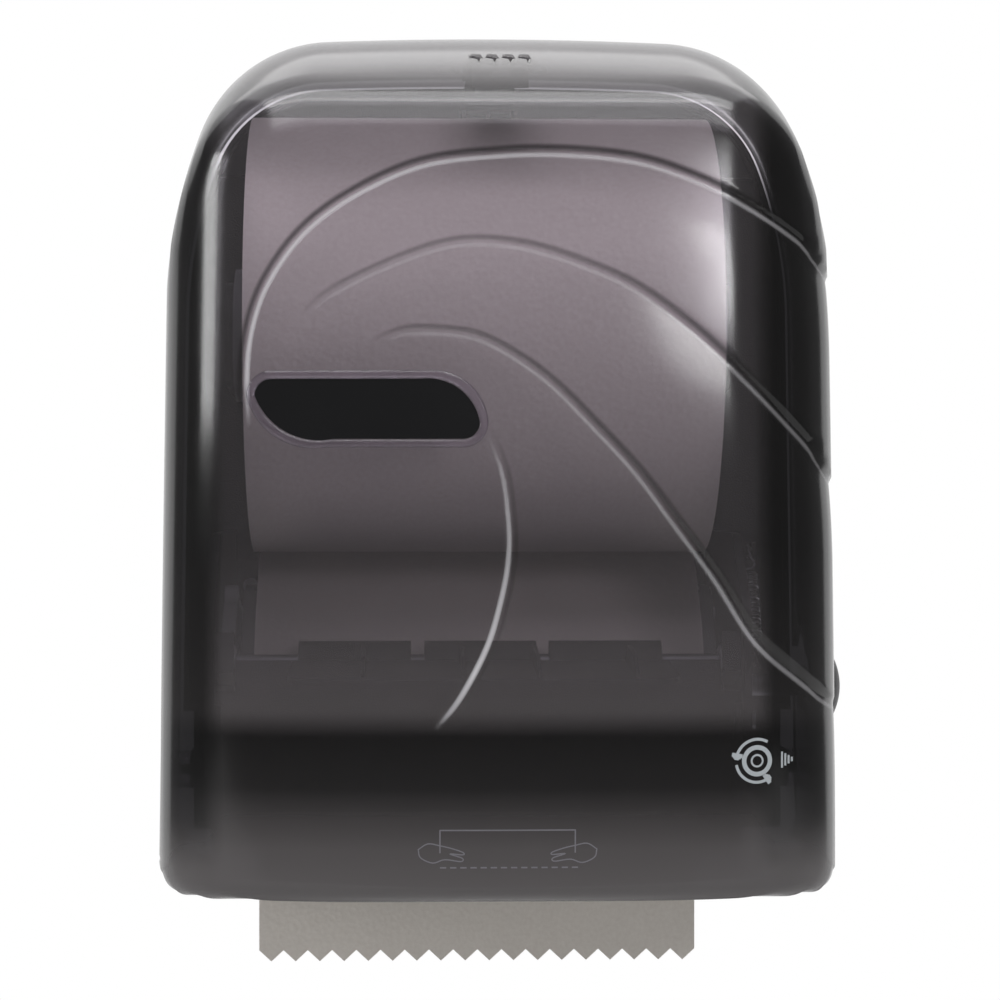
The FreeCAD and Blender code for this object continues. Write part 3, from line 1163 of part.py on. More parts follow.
def knife_blade():
    """The steel blade on the carrier's face, with a row of teeth."""
    back = KNIFE_ARM_REACH - BLADE_BACK - 2
    tip = math.hypot(*KNIFE_REACH)
    root = tip - BLADE_TOOTH_DEPTH
    pitch = PAPER_WIDTH / TOOTH_COUNT
    corners = [(PAPER_RIGHT, back), (PAPER_LEFT, back), (PAPER_LEFT, root)]
    for n in range(TOOTH_COUNT):
        corners.append((PAPER_LEFT + (n + 0.5) * pitch, tip))
        corners.append((PAPER_LEFT + (n + 1) * pitch, root))
    points = [vec(x, *at_knife(a, 0)) for x, a in corners]
    y0, z0 = at_knife(0, 0)
    y1, z1 = at_knife(0, BLADE_T)
    blade = Part.Face(Part.makePolygon(points + points[:1])).extrude(vec(0, y1 - y0, z1 - z0))
    for x in blade_screw_places():
        blade = blade.cut(place_on_knife(Part.makeCylinder(BLADE_SCREW_R + FIT_GAP, 10, vec(0, 0, -5)), x))
    return blade


def blade_screws():
    """The screws that clamp the blade."""
    screws = []
    for x in blade_screw_places():
        shank = Part.makeCylinder(BLADE_SCREW_R, 3.4, vec(0, 0, BLADE_T - 3.4))
        head = Part.makeCylinder(BLADE_SCREW_R + 1.3, 1.2, vec(0, 0, BLADE_T))
        screws.append(place_on_knife(shank.fuse(head), x))
    return Part.makeCompound(screws)


def cam_roller():
    """The roller at the end of the follower arm."""
    x0 = CHEEK_LEFT_X + CAM_FLOOR_T + 0.3
    return tube(x0, FOLLOWER_ARM_X - 0.3, *follower_centre(), FOLLOWER_R, FOLLOWER_PIN_R + PRESS_GAP)


def latch_lever():
    """The latch: an arm that follows the dome, a pad under the slots, a pivot boss and a nose."""
    centre_y, centre_z = DOME_Y, TOP_Z - DOME_R
    r_top = DOME_R - COVER_WALL - LATCH_REAR_DROP
    on = lambda r, y: (y, centre_z + math.sqrt(r**2 - (y - centre_y) ** 2))
    pad_front, pad_rear = LOCK_Y - 8, LOCK_Y + 8
    half = LATCH_WIDTH / 2
    to = lambda p: vec(-half, *p)
    r_low = r_top - LATCH_T
    r_pad = DOME_R - COVER_WALL - LATCH_PAD_GAP
    rear_top, rear_low = (LATCH_REAR_Y, LATCH_TOP_Z), (LATCH_REAR_Y, LATCH_TOP_Z - LATCH_T)
    middle = (pad_rear + centre_y) / 2
    edges = [
        line(to(rear_top), to((centre_y, LATCH_TOP_Z))),
        arc(to((centre_y, LATCH_TOP_Z)), to(on(r_top, middle)), to(on(r_top, pad_rear))),
        line(to(on(r_top, pad_rear)), to(on(r_pad, pad_rear))),
        arc(to(on(r_pad, pad_rear)), to(on(r_pad, LOCK_Y)), to(on(r_pad, pad_front))),
        line(to(on(r_pad, pad_front)), to(on(r_low, pad_front))),
        arc(to(on(r_low, pad_front)), to(on(r_low, middle)), to((centre_y, LATCH_TOP_Z - LATCH_T))),
        line(to((centre_y, LATCH_TOP_Z - LATCH_T)), to(rear_low)),
        line(to(rear_low), to(rear_top)),
    ]
    lever = Part.Face(Part.Wire(edges)).extrude(vec(LATCH_WIDTH, 0, 0))
    lever = lever.fuse(rod(-half, half, LATCH_PIVOT_Y, LATCH_Z, LATCH_EAR_R))
    nose = box(-half, half, LATCH_REAR_Y - 4, LATCH_REAR_Y, LATCH_TOP_Z - LATCH_T - LATCH_NOSE_DROP, LATCH_TOP_Z - 1)
    lever = lever.fuse(nose)
    lever = lever.cut(box(half - LATCH_SPRING_ROOM, half + 1, LATCH_PIVOT_Y - 7, LATCH_PIVOT_Y + 7, LATCH_Z - 9, LATCH_Z + 9))
    lever = lever.cut(rod(-half - 1, half + 1, LATCH_PIVOT_Y, LATCH_Z, LATCH_PIN_R + RUN_CLEARANCE))
    lever = lever.cut(box(-half + 5, half - LATCH_SPRING_ROOM - 3, LATCH_PIVOT_Y + 20, LATCH_REAR_Y - 14, LATCH_Z - 9, LATCH_Z + 9))
    return lever.removeSplitter()


def latch_bracket():
    """The folded bracket that carries the latch's pin under the cover's top."""
    t = LATCH_BRACKET_T
    inner = LATCH_WIDTH / 2 + 0.4
    half_y = LATCH_EAR_R + 0.5
    bracket = None
    for side in (LEFT, RIGHT):
        a, b = sorted((side * inner, side * (inner + t)))
        ear = box(a, b, LATCH_PIVOT_Y - half_y, LATCH_PIVOT_Y + half_y, LATCH_Z, LATCH_BOSS_Z)
        ear = ear.fuse(rod(a, b, LATCH_PIVOT_Y, LATCH_Z, half_y))
        a, b = sorted((side * inner, side * (LATCH_SCREW_X + 5)))
        foot = box(a, b, LATCH_PIVOT_Y - half_y, LATCH_PIVOT_Y + half_y, LATCH_BOSS_Z - t, LATCH_BOSS_Z)
        piece = ear.fuse(foot)
        bracket = piece if bracket is None else bracket.fuse(piece)
    bridge_top = LATCH_TOP_Z + 3.4
    bridge = box(-inner - t, inner + t, LATCH_PIVOT_Y - half_y, LATCH_PIVOT_Y + half_y, bridge_top - 1.6, bridge_top)
    bracket = bracket.fuse(bridge)
    for side in (LEFT, RIGHT):
        a, b = sorted((side * inner, side * (inner + t)))
        bracket = bracket.fuse(box(a, b, LATCH_PIVOT_Y - half_y, LATCH_PIVOT_Y + half_y, LATCH_Z, bridge_top))
        hole = Part.makeCylinder(SCREW_R + FIT_GAP, 9, vec(side * LATCH_SCREW_X, LATCH_PIVOT_Y, LATCH_BOSS_Z - 6))
        bracket = bracket.cut(hole)
    bracket = bracket.cut(rod(-30, 30, LATCH_PIVOT_Y, LATCH_Z, LATCH_PIN_R + PRESS_GAP))
    return bracket.removeSplitter()


def latch_pin():
    """The latch's pin, pressed through the bracket's ears."""
    outer = LATCH_WIDTH / 2 + 0.4 + LATCH_BRACKET_T
    return rod(-outer - 1, outer + 1, LATCH_PIVOT_Y, LATCH_Z, LATCH_PIN_R)


def latch_screws():
    """The two screws of the latch bracket."""
    seat = LATCH_BOSS_Z - LATCH_BRACKET_T
    return Part.makeCompound([short_screw(vec(side * LATCH_SCREW_X, LATCH_PIVOT_Y, seat)) for side in (LEFT, RIGHT)])


def short_screw(place):
    """A short screw that points up."""
    return screw(place, Z_AXIS, LATCH_BRACKET_T + 3.4)


def web_path():
    """The towel's way from the roll to its end, as lines and arcs of (y, z) places."""
    roll = (ROLL_Y, ROLL_Z)
    drum = (DRUM_Y, DRUM_Z)
    r1 = ROLL_R + 0.2 + WEB_T / 2
    r2 = WEB_INNER_R + WEB_T / 2
    dy, dz = drum[0] - roll[0], drum[1] - roll[1]
    tangent = math.atan2(dz, dy) + math.acos((r1 + r2) / math.hypot(dy, dz))
    start = (roll[0] + r1 * math.cos(tangent), roll[1] + r1 * math.sin(tangent))
    on_drum = lambda a: (drum[0] + r2 * math.cos(a), drum[1] + r2 * math.sin(a))
    first = tangent + math.pi
    last = math.radians(270 - WEB_LEAVE_ANGLE)
    dive = math.radians(WEB_LEAVE_ANGLE)
    leave = on_drum(last)
    turn = math.pi / 2 - dive
    run = (TAIL_Y - leave[0] - TAIL_BEND_R * (1 - math.cos(turn))) / math.cos(dive)
    bend = (leave[0] + run * math.cos(dive), leave[1] - run * math.sin(dive))
    centre = (TAIL_Y - TAIL_BEND_R, bend[1] - TAIL_BEND_R * math.sin(turn))
    on_bend = lambda a: (centre[0] + TAIL_BEND_R * math.cos(a), centre[1] + TAIL_BEND_R * math.sin(a))
    end = (TAIL_Y, BOTTOM_Z - TAIL_BELOW_COVER)
    return [(start, on_drum(first)), (on_drum(first), on_drum((first + last) / 2), leave),
            (leave, bend), (bend, on_bend(turn / 2), on_bend(0)), (on_bend(0), end)]


def paper_web():
    """The towel between the roll and its toothed end, a strip of even thickness along its way."""
    half = WEB_T / 2
    solid = None
    for points in web_path():
        mid_a, mid_b = points[0], points[-1]
        if len(points) == 2:
            length = math.hypot(mid_b[0] - mid_a[0], mid_b[1] - mid_a[1])
            n = (-(mid_b[1] - mid_a[1]) / length * half, (mid_b[0] - mid_a[0]) / length * half)
            corners = [(mid_a[0] + n[0], mid_a[1] + n[1]), (mid_b[0] + n[0], mid_b[1] + n[1]),
                       (mid_b[0] - n[0], mid_b[1] - n[1]), (mid_a[0] - n[0], mid_a[1] - n[1])]
            piece = side_prism(PAPER_LEFT, PAPER_RIGHT, corners)
        else:
            piece = arc_strip(points, half)
        solid = piece if solid is None else solid.fuse(piece)
    solid = solid.removeSplitter()
    pitch = PAPER_WIDTH / TOOTH_COUNT
    low = BOTTOM_Z - TAIL_BELOW_COVER
    corners = [(PAPER_LEFT - 1, low - 5), (PAPER_LEFT - 1, low + TOOTH_DEPTH)]
    for n in range(TOOTH_COUNT):
        corners.append((PAPER_LEFT + n * pitch, low + TOOTH_DEPTH))
        corners.append((PAPER_LEFT + (n + 0.5) * pitch, low))
    corners += [(PAPER_RIGHT, low + TOOTH_DEPTH), (PAPER_RIGHT + 1, low + TOOTH_DEPTH), (PAPER_RIGHT + 1, low - 5)]
    return solid.cut(front_prism(TAIL_Y - 5, TAIL_Y + 5, corners))


def arc_strip(points, half):
    """A bent piece of the towel round the circle through three places."""
    a, m, b = (vec(PAPER_LEFT, *p) for p in points)
    centre = arc(a, m, b).Curve.Center
    shift = lambda p, d: centre + (p - centre) * (((p - centre).Length + d) / (p - centre).Length)
    edges = [
        arc(shift(a, half), shift(m, half), shift(b, half)),
        line(shift(b, half), shift(b, -half)),
        arc(shift(b, -half), shift(m, -half), shift(a, -half)),
        line(shift(a, -half), shift(a, half)),
    ]
    return Part.Face(Part.Wire(edges)).extrude(vec(PAPER_WIDTH, 0, 0))


def paper_roll():
    """The roll of towel round its core."""
    return tube(PAPER_LEFT, PAPER_RIGHT, ROLL_Y, ROLL_Z, ROLL_R, CORE_R + CORE_T + PRESS_GAP)


def roll_core():
    """The cardboard core of the roll."""
    return tube(PAPER_LEFT, PAPER_RIGHT, ROLL_Y, ROLL_Z, CORE_R + CORE_T, CORE_R)


def frame_screws():
    """The screws of the cheeks, the left arm and the cam plate."""
    screws = [screw(place, Y_AXIS, SCREW_LENGTH) for place in foot_screws()]
    seat = CHEEK_LEFT_X - CHEEK_T
    for lug in cam_lugs(1, 0, 1):
        y, z = lug.BoundBox.Center.y, lug.BoundBox.Center.z
        screws.append(screw(vec(seat, y, z), X_AXIS, CHEEK_T + CAM_T - 1))
    return Part.makeCompound(screws)


def guide_screws():
    """The screws of the front guide and the exit guide, from outside each cheek."""
    screws = []
    for y, z in guide_screw_places():
        screws.append(screw(vec(CHEEK_LEFT_X - CHEEK_T, y, z), X_AXIS, CHEEK_T + 3))
        screws.append(screw(vec(CHEEK_RIGHT_X + CHEEK_T, y, z), X_AXIS * -1, CHEEK_T + 3))
    return Part.makeCompound(screws)


def biarc(p0, t0, p1, t1):
    """Two arcs that join two places smoothly in two directions."""
    chord = p1 - p0
    if t0.cross(chord).Length < 1e-6 and t0.cross(t1).Length < 1e-6:
        return [line(p0, p1)]
    u = t0 + t1
    uv = u.dot(chord)
    w = 4 - u.dot(u)
    d = chord.Length / 2 if w < 1e-9 else (-uv + math.sqrt(uv**2 + w * chord.dot(chord))) / w
    q0, q1 = p0 + t0 * d, p1 - t1 * d
    joint = (q0 + q1) * 0.5
    edges = []
    for a, q, b in ((p0, q0, joint), (joint, q1, p1)):
        middle = (a + b) * 0.5
        rise, half_chord = (q - middle).Length, (b - a).Length / 2
        if rise < 1e-6:
            edges.append(line(a, b))
            continue
        lean = math.atan2(rise, half_chord)
        edges.append(arc(a, middle + (q - middle) * (math.tan(lean / 2) / math.tan(lean)), b))
    return edges


def wound_wire(name, stops, wire_r):
    """A wire swept through stops, each a place and a direction; its least gap to itself is printed."""
    edges = []
    for (p0, t0), (p1, t1) in zip(stops, stops[1:]):
        edges += biarc(p0, t0, p1, t1)
    path = Part.Wire(edges)
    print("Least gap of", name, "to itself:", round(least_gap(path, wire_r), 2), "mm")
    place, direction = stops[0]
    out = direction.cross(vec(0.31, 0.77, 0.55)).normalize()
    across = direction.cross(out)
    corners = []
    for n in range(WIRE_SIDES):
        a = 2 * math.pi * n / WIRE_SIDES
        corners.append(place + (out * math.cos(a) + across * math.sin(a)) * wire_r)
    return path.makePipeShell([Part.makePolygon(corners + corners[:1])], True, False)


def least_gap(path, wire_r):
    """The least free space between stretches of a wound wire, measured on points half a radius apart."""
    count = int(path.Length / (wire_r / 2))
    step = path.Length / (count - 1)
    points = path.discretize(Number=count)
    skip = int(6 * wire_r / step) + 1
    nearest = min(p.distanceToPoint(q) for n, p in enumerate(points) for q in points[n + skip:])
    return nearest - 2 * wire_r


def coil_stops(centre, axis, side, radius, pitch, turns, start=0.0, steps=2):
    """Stops along a coil that starts at an angle from the side direction and climbs along its axis."""
    cross = axis.cross(side)
    rise = pitch / (2 * math.pi)
    stops = []
    for n in range(int(round(turns * steps)) + 1):
        a = start + 2 * math.pi * n / steps
        out = side * math.cos(a) + cross * math.sin(a)
        way = cross * math.cos(a) - side * math.sin(a)
        place = centre + out * radius + axis * (rise * (a - start))
        direction = way * radius + axis * rise
        stops.append((place, direction.normalize()))
    return stops


def return_spring():
    """The long tension spring between the crank's pin and its anchor, with a hook round each."""
    pin = vec(SPRING_X, *crank_pin())
    anchor = vec(SPRING_X, DRUM_Y + ANCHOR_OFFSET[0], DRUM_Z + ANCHOR_OFFSET[1])
    axis = (anchor - pin).normalize()
    span = (anchor - pin).Length
    side = X_AXIS.cross(axis)
    coil = RETURN_TURNS * RETURN_PITCH
    lead = (span - coil) / 2
    r = RETURN_R
    stops = coil_stops(pin + axis * lead, axis, side, r, RETURN_PITCH, RETURN_TURNS)
    ring = CRANK_PIN_R + RETURN_WIRE_R + 0.3
    hook_in = [(pin - side * ring * math.sin(math.radians(50)) + axis * ring * math.cos(math.radians(50)),
                (-side * math.cos(math.radians(50)) - axis * math.sin(math.radians(50)))),
               (pin - axis * ring, side), (pin + side * ring, axis)]
    hook_out = [(anchor + side * ring, axis), (anchor + axis * ring, -side),
                (anchor - side * ring * math.sin(math.radians(50)) - axis * ring * math.cos(math.radians(50)),
                 (side * math.cos(math.radians(50)) - axis * math.sin(math.radians(50))))]
    return wound_wire("return_spring", hook_in + stops + hook_out, RETURN_WIRE_R)


def pinch_springs():
    """The two small springs behind the pinch blocks."""
    springs = []
    a = math.radians(PINCH_ANGLE)
    axis = vec(0, -math.sin(a), math.cos(a))
    turns = PINCH_SPRING_TURNS
    pitch = (PINCH_SPRING_LENGTH + BLOCK_SLACK - 2 * PINCH_WIRE_R) / turns
    for x in (CHEEK_LEFT_X + BLOCK_HOUSING_T / 2, CHEEK_RIGHT_X - BLOCK_HOUSING_T / 2):
        start = vec(x, *at_pinch(PINCH_DISTANCE + BLOCK_SIDE / 2 + PINCH_WIRE_R, 0))
        stops = coil_stops(start, axis, X_AXIS, PINCH_SPRING_R, pitch, turns)
        springs.append(wound_wire("pinch_springs", stops, PINCH_WIRE_R))
    return Part.makeCompound(springs)


def knife_spring():
    """The torsion spring round the knife's right trunnion, with a leg on the cap."""
    centre = vec(DRUM_RIGHT - CAP_INSET + 1.0, *at_drum(*KNIFE_PIVOT))
    a = math.radians(DRUM_SLOT_ANGLE)
    side = vec(0, math.cos(a), math.sin(a))
    stops = coil_stops(centre, X_AXIS, side, KNIFE_SPRING_R, KNIFE_SPRING_PITCH, TORSION_TURNS)
    leg = stops[0][0] - stops[0][1] * KNIFE_SPRING_LEG
    leg_out = stops[-1][0] + stops[-1][1] * 9
    stops = [(leg, stops[0][1])] + stops + [(leg_out, stops[-1][1])]
    return wound_wire("knife_spring", stops, KNIFE_WIRE_R)


def latch_spring():
    """The torsion spring round the latch's pin, with one leg over the lever and one ahead of the pin."""
    start = vec(LATCH_WIDTH / 2 - LATCH_SPRING_ROOM + 0.7, LATCH_PIVOT_Y, LATCH_Z)
    stops = coil_stops(start, X_AXIS, Z_AXIS, LATCH_SPRING_R, LATCH_SPRING_PITCH, TORSION_TURNS)
    front = (stops[0][0] + vec(0, 9, 0), Y_AXIS * -1)
    back = (stops[-1][0] - vec(0, 9, 0), Y_AXIS * -1)
    return wound_wire("latch_spring", [front] + stops + [back], LATCH_WIRE_R)


def arm_spring():
    """The torsion spring round the right arm's pin: one leg on the arm, one towards the plate."""
    start = vec(ARM_PIN_X, ARM_PIN_Y, ROLL_Z - ARM_KNUCKLE_HALF + 0.7)
    stops = coil_stops(start, Z_AXIS, X_AXIS, ARM_SPRING_R, ARM_SPRING_PITCH, TORSION_TURNS)
    leg_in = (stops[0][0] + vec(-1.6, -16, 0), Y_AXIS)
    stops = [leg_in] + stops
    last = stops[-1]
    leg_out = (last[0] + vec(0, 9.5, 0), Y_AXIS)
    return wound_wire("arm_spring", stops + [leg_out], ARM_WIRE_R)


NODES = {
    "back_plate": back_plate,
    "side_frame_left": lambda: cheek(LEFT),
    "side_frame_right": lambda: cheek(RIGHT),
    "drum_bearing_left": lambda: bearing(LEFT),
    "drum_bearing_right": lambda: bearing(RIGHT),
    "cam_plate": cam_plate,
    "front_guide": front_guide,
    "exit_guide": exit_guide,
    "roll_arm_left": lambda: roll_arm(LEFT),
    "roll_hub_left": lambda: roll_hub(LEFT),
    "arm_pivot_pin": arm_pivot_pin,
    "cover_hinge_pins": cover_hinge_pins,
    "pinch_bearings": pinch_bearings,
    "pinch_springs": pinch_springs,
    "return_spring": return_spring,
    "frame_screws": frame_screws,
    "guide_screws": guide_screws,
    "paper_web": paper_web,
    "front_cover": front_cover,
    "badge_plate": badge_plate,
    "latch_bracket": latch_bracket,
    "latch_pin": latch_pin,
    "latch_spring": latch_spring,
    "latch_screws": latch_screws,
    "latch_lever": latch_lever,
    "drum_shell_front": lambda: drum_shell(-1),
    "drum_shell_rear": lambda: drum_shell(1),
    "drum_cap_left": lambda: drum_cap(LEFT),
    "drum_cap_right": lambda: drum_cap(RIGHT),
    "drum_shaft": drum_shaft,
    "friction_bands": friction_bands,
    "drum_screws": drum_screws,
    "return_crank": return_crank,
    "feed_knob": feed_knob,
    "knob_screw": knob_screw,
    "knife_carrier": knife_carrier,
    "knife_blade": knife_blade,
    "blade_screws": blade_screws,
    "cam_roller": cam_roller,
    "knife_spring": knife_spring,
    "pinch_shaft": pinch_shaft,
    "pinch_sleeves": pinch_sleeves,
    "paper_roll": paper_roll,
    "roll_core": roll_core,
    "roll_arm_right": lambda: roll_arm(RIGHT),
    "roll_hub_right": lambda: roll_hub(RIGHT),
    "arm_spring": arm_spring,
}

os.makedirs("parts", exist_ok=True)
for name, make in NODES.items():
    shape = make()
    print(name, shape.isValid(), len(shape.Solids), round(shape.Volume))
    shape.exportStep("parts/" + name + ".step")
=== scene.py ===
import math
import bpy
import numpy as np
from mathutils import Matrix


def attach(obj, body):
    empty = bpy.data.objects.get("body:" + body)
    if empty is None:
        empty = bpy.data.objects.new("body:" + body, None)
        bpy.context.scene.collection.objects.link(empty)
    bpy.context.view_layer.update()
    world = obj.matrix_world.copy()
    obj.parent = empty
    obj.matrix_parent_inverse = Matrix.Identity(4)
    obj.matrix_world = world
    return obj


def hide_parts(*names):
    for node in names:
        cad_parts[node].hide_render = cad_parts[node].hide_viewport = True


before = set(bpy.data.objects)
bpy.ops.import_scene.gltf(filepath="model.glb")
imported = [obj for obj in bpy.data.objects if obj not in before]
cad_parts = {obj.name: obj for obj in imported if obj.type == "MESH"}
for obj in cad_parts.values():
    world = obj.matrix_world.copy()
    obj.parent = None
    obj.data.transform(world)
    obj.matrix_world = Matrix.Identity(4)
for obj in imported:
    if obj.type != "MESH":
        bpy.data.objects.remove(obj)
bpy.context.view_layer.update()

# Camera: level, a little left of the middle and turned slightly to the right, with a long lens,
# as the photograph was taken. The studio is laid out in metres.
CAMERA_PLACE = (-0.038, -1.372, -0.0205)
CAMERA_TURN = math.radians(-1.85)
CAMERA_LENS, FILM_WIDTH, CAMERA_REACH = 99.3, 36.0, 30.0

camera_data = bpy.data.cameras.new("camera")
camera_data.lens = CAMERA_LENS
camera_data.sensor_width = FILM_WIDTH
camera_data.clip_end = CAMERA_REACH
camera = bpy.data.objects.new("camera", camera_data)
camera.location = CAMERA_PLACE
camera.rotation_euler = (math.radians(90.0), 0.0, CAMERA_TURN)
bpy.context.scene.collection.objects.link(camera)
bpy.context.scene.camera = camera
bpy.context.scene.view_settings.view_transform = "Standard"


# Floor, backdrop and world: white paper under and far behind the hanging dispenser.
# Rays from the camera and from gloss see them as white; other rays get their light back softly.
FLOOR_Z, FLOOR_HALF, FLOOR_FRONT = -0.86, 4.0, -2.4
BACKDROP_Y, BACKDROP_TOP = 3.0, 4.0
FLOOR_SHOW, BACKDROP_SHOW = 0.75, 1.0
WORLD_LIGHT = 0.2


def linear(code):
    """Linear colour from an sRGB hex code: the standard's straight foot, then its power curve."""
    parts = [int(code[i:i + 2], 16) / 255 for i in (1, 3, 5)]
    return tuple(c / 12.92 if c <= 0.04045 else ((c + 0.055) / 1.055) ** 2.4 for c in parts) + (1.0,)


def add(tree, kind, inputs=None, **settings):
    """A new node with its settings made and its inputs set or, for sockets, linked."""
    node = tree.nodes.new(kind)
    for key, value in settings.items():
        setattr(node, key, value)
    for key, value in (inputs or {}).items():
        if isinstance(value, bpy.types.NodeSocket):
            tree.links.new(value, node.inputs[key])
        else:
            node.inputs[key].default_value = value
    return node


def new_material(name):
    """An empty node material: itself, its tree and its output's surface socket."""
    material = bpy.data.materials.new(name)
    material.use_nodes = True
    material.node_tree.nodes.clear()
    output = material.node_tree.nodes.new("ShaderNodeOutputMaterial")
    return material, material.node_tree, output.inputs["Surface"]


def new_object(name, places, faces, material, smooth=True):
    """A mesh object at the origin from an array of places in metres and lists of corner numbers."""
    mesh = bpy.data.meshes.new(name)
    mesh.from_pydata(np.asarray(places, float).tolist(), [], faces)
    if smooth:
        mesh.shade_smooth()
    else:
        mesh.shade_flat()
    mesh.materials.append(material)
    obj = bpy.data.objects.new(name, mesh)
    bpy.context.scene.collection.objects.link(obj)
    return obj


def white_paper(name, show):
    """Studio paper: white to the camera and to gloss by the share shown, and plain white for other light."""
    material, tree, surface = new_material(name)
    path = add(tree, "ShaderNodeLightPath")
    seen = add(tree, "ShaderNodeMath", {0: path.outputs["Is Camera Ray"], 1: path.outputs["Is Glossy Ray"]},
               operation="ADD")
    seen = add(tree, "ShaderNodeMath", {0: seen.outputs[0], 1: path.outputs["Is Transmission Ray"]},
               operation="ADD", use_clamp=True)
    share = add(tree, "ShaderNodeMath", {0: seen.outputs[0], 1: show}, operation="MULTIPLY")
    paper = add(tree, "ShaderNodeBsdfDiffuse", {"Color": linear("#F4F4F4")})
    glow = add(tree, "ShaderNodeEmission", {"Color": linear("#FFFFFF"), "Strength": 1.0})
    both = add(tree, "ShaderNodeMixShader", {0: share.outputs[0], 1: paper.outputs[0], 2: glow.outputs[0]})
    tree.links.new(both.outputs[0], surface)
    return material


def studio_sheet(name, front, back, show):
    """A flat sheet across the studio between two edges, each given by its depth and its height."""
    corners = [(-FLOOR_HALF, *front), (FLOOR_HALF, *front), (FLOOR_HALF, *back), (-FLOOR_HALF, *back)]
    return new_object(name, corners, [(0, 1, 2, 3)], white_paper(f"studio_{name}_paper", show), smooth=False)


floor = studio_sheet("floor", (FLOOR_FRONT, FLOOR_Z), (BACKDROP_Y, FLOOR_Z), FLOOR_SHOW)
backdrop = studio_sheet("backdrop", (BACKDROP_Y, FLOOR_Z), (BACKDROP_Y, BACKDROP_TOP), BACKDROP_SHOW)

world = bpy.data.worlds.new("studio")
world.use_nodes = True
bpy.context.scene.world = world
world.node_tree.nodes.clear()
rays = add(world.node_tree, "ShaderNodeLightPath")
sky_strength = add(world.node_tree, "ShaderNodeMapRange",
                   {"Value": rays.outputs["Is Camera Ray"], "To Min": WORLD_LIGHT, "To Max": 1.0})
sky = add(world.node_tree, "ShaderNodeBackground",
          {"Color": linear("#FFFFFF"), "Strength": sky_strength.outputs[0]})
add(world.node_tree, "ShaderNodeOutputWorld", {"Surface": sky.outputs[0]})


# Lamps: two wide soft boxes overhead, whose pictures lie on the domed top, a large key box in front and
# above, and two small boxes, of which the left one's picture stands as an upright stripe on the corner.
def soft_box(name, place, aim, width, height, power):
    """A rectangular area lamp at a place, turned about X and then Z so that it faces a point."""
    data = bpy.data.lights.new(name, "AREA")
    data.shape = "RECTANGLE"
    data.size = width
    data.size_y = height
    data.energy = power
    lamp = bpy.data.objects.new(name, data)
    lamp.location = place
    away = np.array(place) - np.array(aim)
    away /= np.linalg.norm(away)
    lamp.rotation_euler = (math.acos(away[2]), 0.0, math.atan2(away[1], away[0]) + math.pi / 2)
    bpy.context.scene.collection.objects.link(lamp)


soft_box("overhead_box", (0.0, 0.45, 1.45), aim=(0.0, -0.1, 0.0), width=1.8, height=1.6, power=13.0)
soft_box("front_overhead_box", (0.0, -0.4, 1.4), aim=(0.0, -0.15, 0.0), width=1.6, height=0.5, power=13.0)
soft_box("key_box", (0.05, -1.2, 1.6), aim=(0.0, -0.15, 0.05), width=2.2, height=1.5, power=31.0)
soft_box("left_box", (-1.45, -0.4, 0.34), aim=(0.0, -0.1, 0.05), width=0.35, height=0.5, power=6.0)
soft_box("right_box", (0.62, -1.62, 0.4), aim=(0.0, -0.1, 0.0), width=0.3, height=0.26, power=3.0)


# Wall plate, cheeks, guides, roll arms, latch and knob: black ABS mouldings, screwed to the wall and to each
# other. Their moulds were spark-eroded, which gives the eye an even, half matt black.
TONE_PITCH, GRAIN_HEIGHT = 71.0, 0.0004
MOULD_GLOSS_SPREAD = (-0.06, 0.08)


def per_metre(pitch):
    """A pattern's scale, in repeats to the metre, from its pitch in millimetres."""
    return 1000.0 / pitch


def moulded(name, colour, worn, rough, grain, relief):
    """Moulded plastic: an eroded grain, a slightly uneven gloss and a faint change of tone.

    The real grain has a pitch of about 0.1 mm. It is drawn some five times as coarse, so that it shows.
    """
    material, tree, surface = new_material(name)
    place = add(tree, "ShaderNodeTexCoord").outputs["Object"]
    cloud = add(tree, "ShaderNodeTexNoise", {"Vector": place, "Scale": per_metre(TONE_PITCH), "Detail": 3.0})
    tone = add(tree, "ShaderNodeMix", {"Factor": cloud.outputs["Fac"], 6: linear(colour), 7: linear(worn)},
               data_type="RGBA")
    glossy, dull = (rough + spread for spread in MOULD_GLOSS_SPREAD)
    shine = add(tree, "ShaderNodeMapRange", {"Value": cloud.outputs["Fac"],
                                             "To Min": glossy, "To Max": dull})
    fine = add(tree, "ShaderNodeTexNoise", {"Vector": place, "Scale": per_metre(grain), "Detail": 2.0})
    bump = add(tree, "ShaderNodeBump", {"Height": fine.outputs["Fac"], "Strength": relief,
                                        "Distance": GRAIN_HEIGHT})
    shader = add(tree, "ShaderNodeBsdfPrincipled", {"Base Color": tone.outputs[2],
                                                    "Roughness": shine.outputs[0], "Normal": bump.outputs[0]})
    tree.links.new(shader.outputs[0], surface)
    return material


def repaint(material, *names):
    """Gives CAD nodes a material in place of their own."""
    for name in names:
        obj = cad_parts[name]
        obj.data.materials.clear()
        obj.data.materials.append(material)


repaint(moulded("black_abs", "#1B1B1D", "#242427", rough=0.42, grain=0.71, relief=0.5),
        "back_plate", "side_frame_left", "side_frame_right", "front_guide", "exit_guide", "roll_arm_left",
        "roll_arm_right", "latch_bracket", "latch_lever", "feed_knob", "return_crank")


# Bushes, cam ring, roll hubs, sliding blocks, follower and knife carrier: natural grey acetal, pressed or
# screwed into the frame. It runs on steel without oil, and looks pale, smooth and a little waxy.
repaint(moulded("grey_acetal", "#8E9092", "#A0A2A4", rough=0.34, grain=0.56, relief=0.3),
        "drum_bearing_left", "drum_bearing_right", "cam_plate", "roll_hub_left", "roll_hub_right",
        "pinch_bearings", "cam_roller", "knife_carrier")


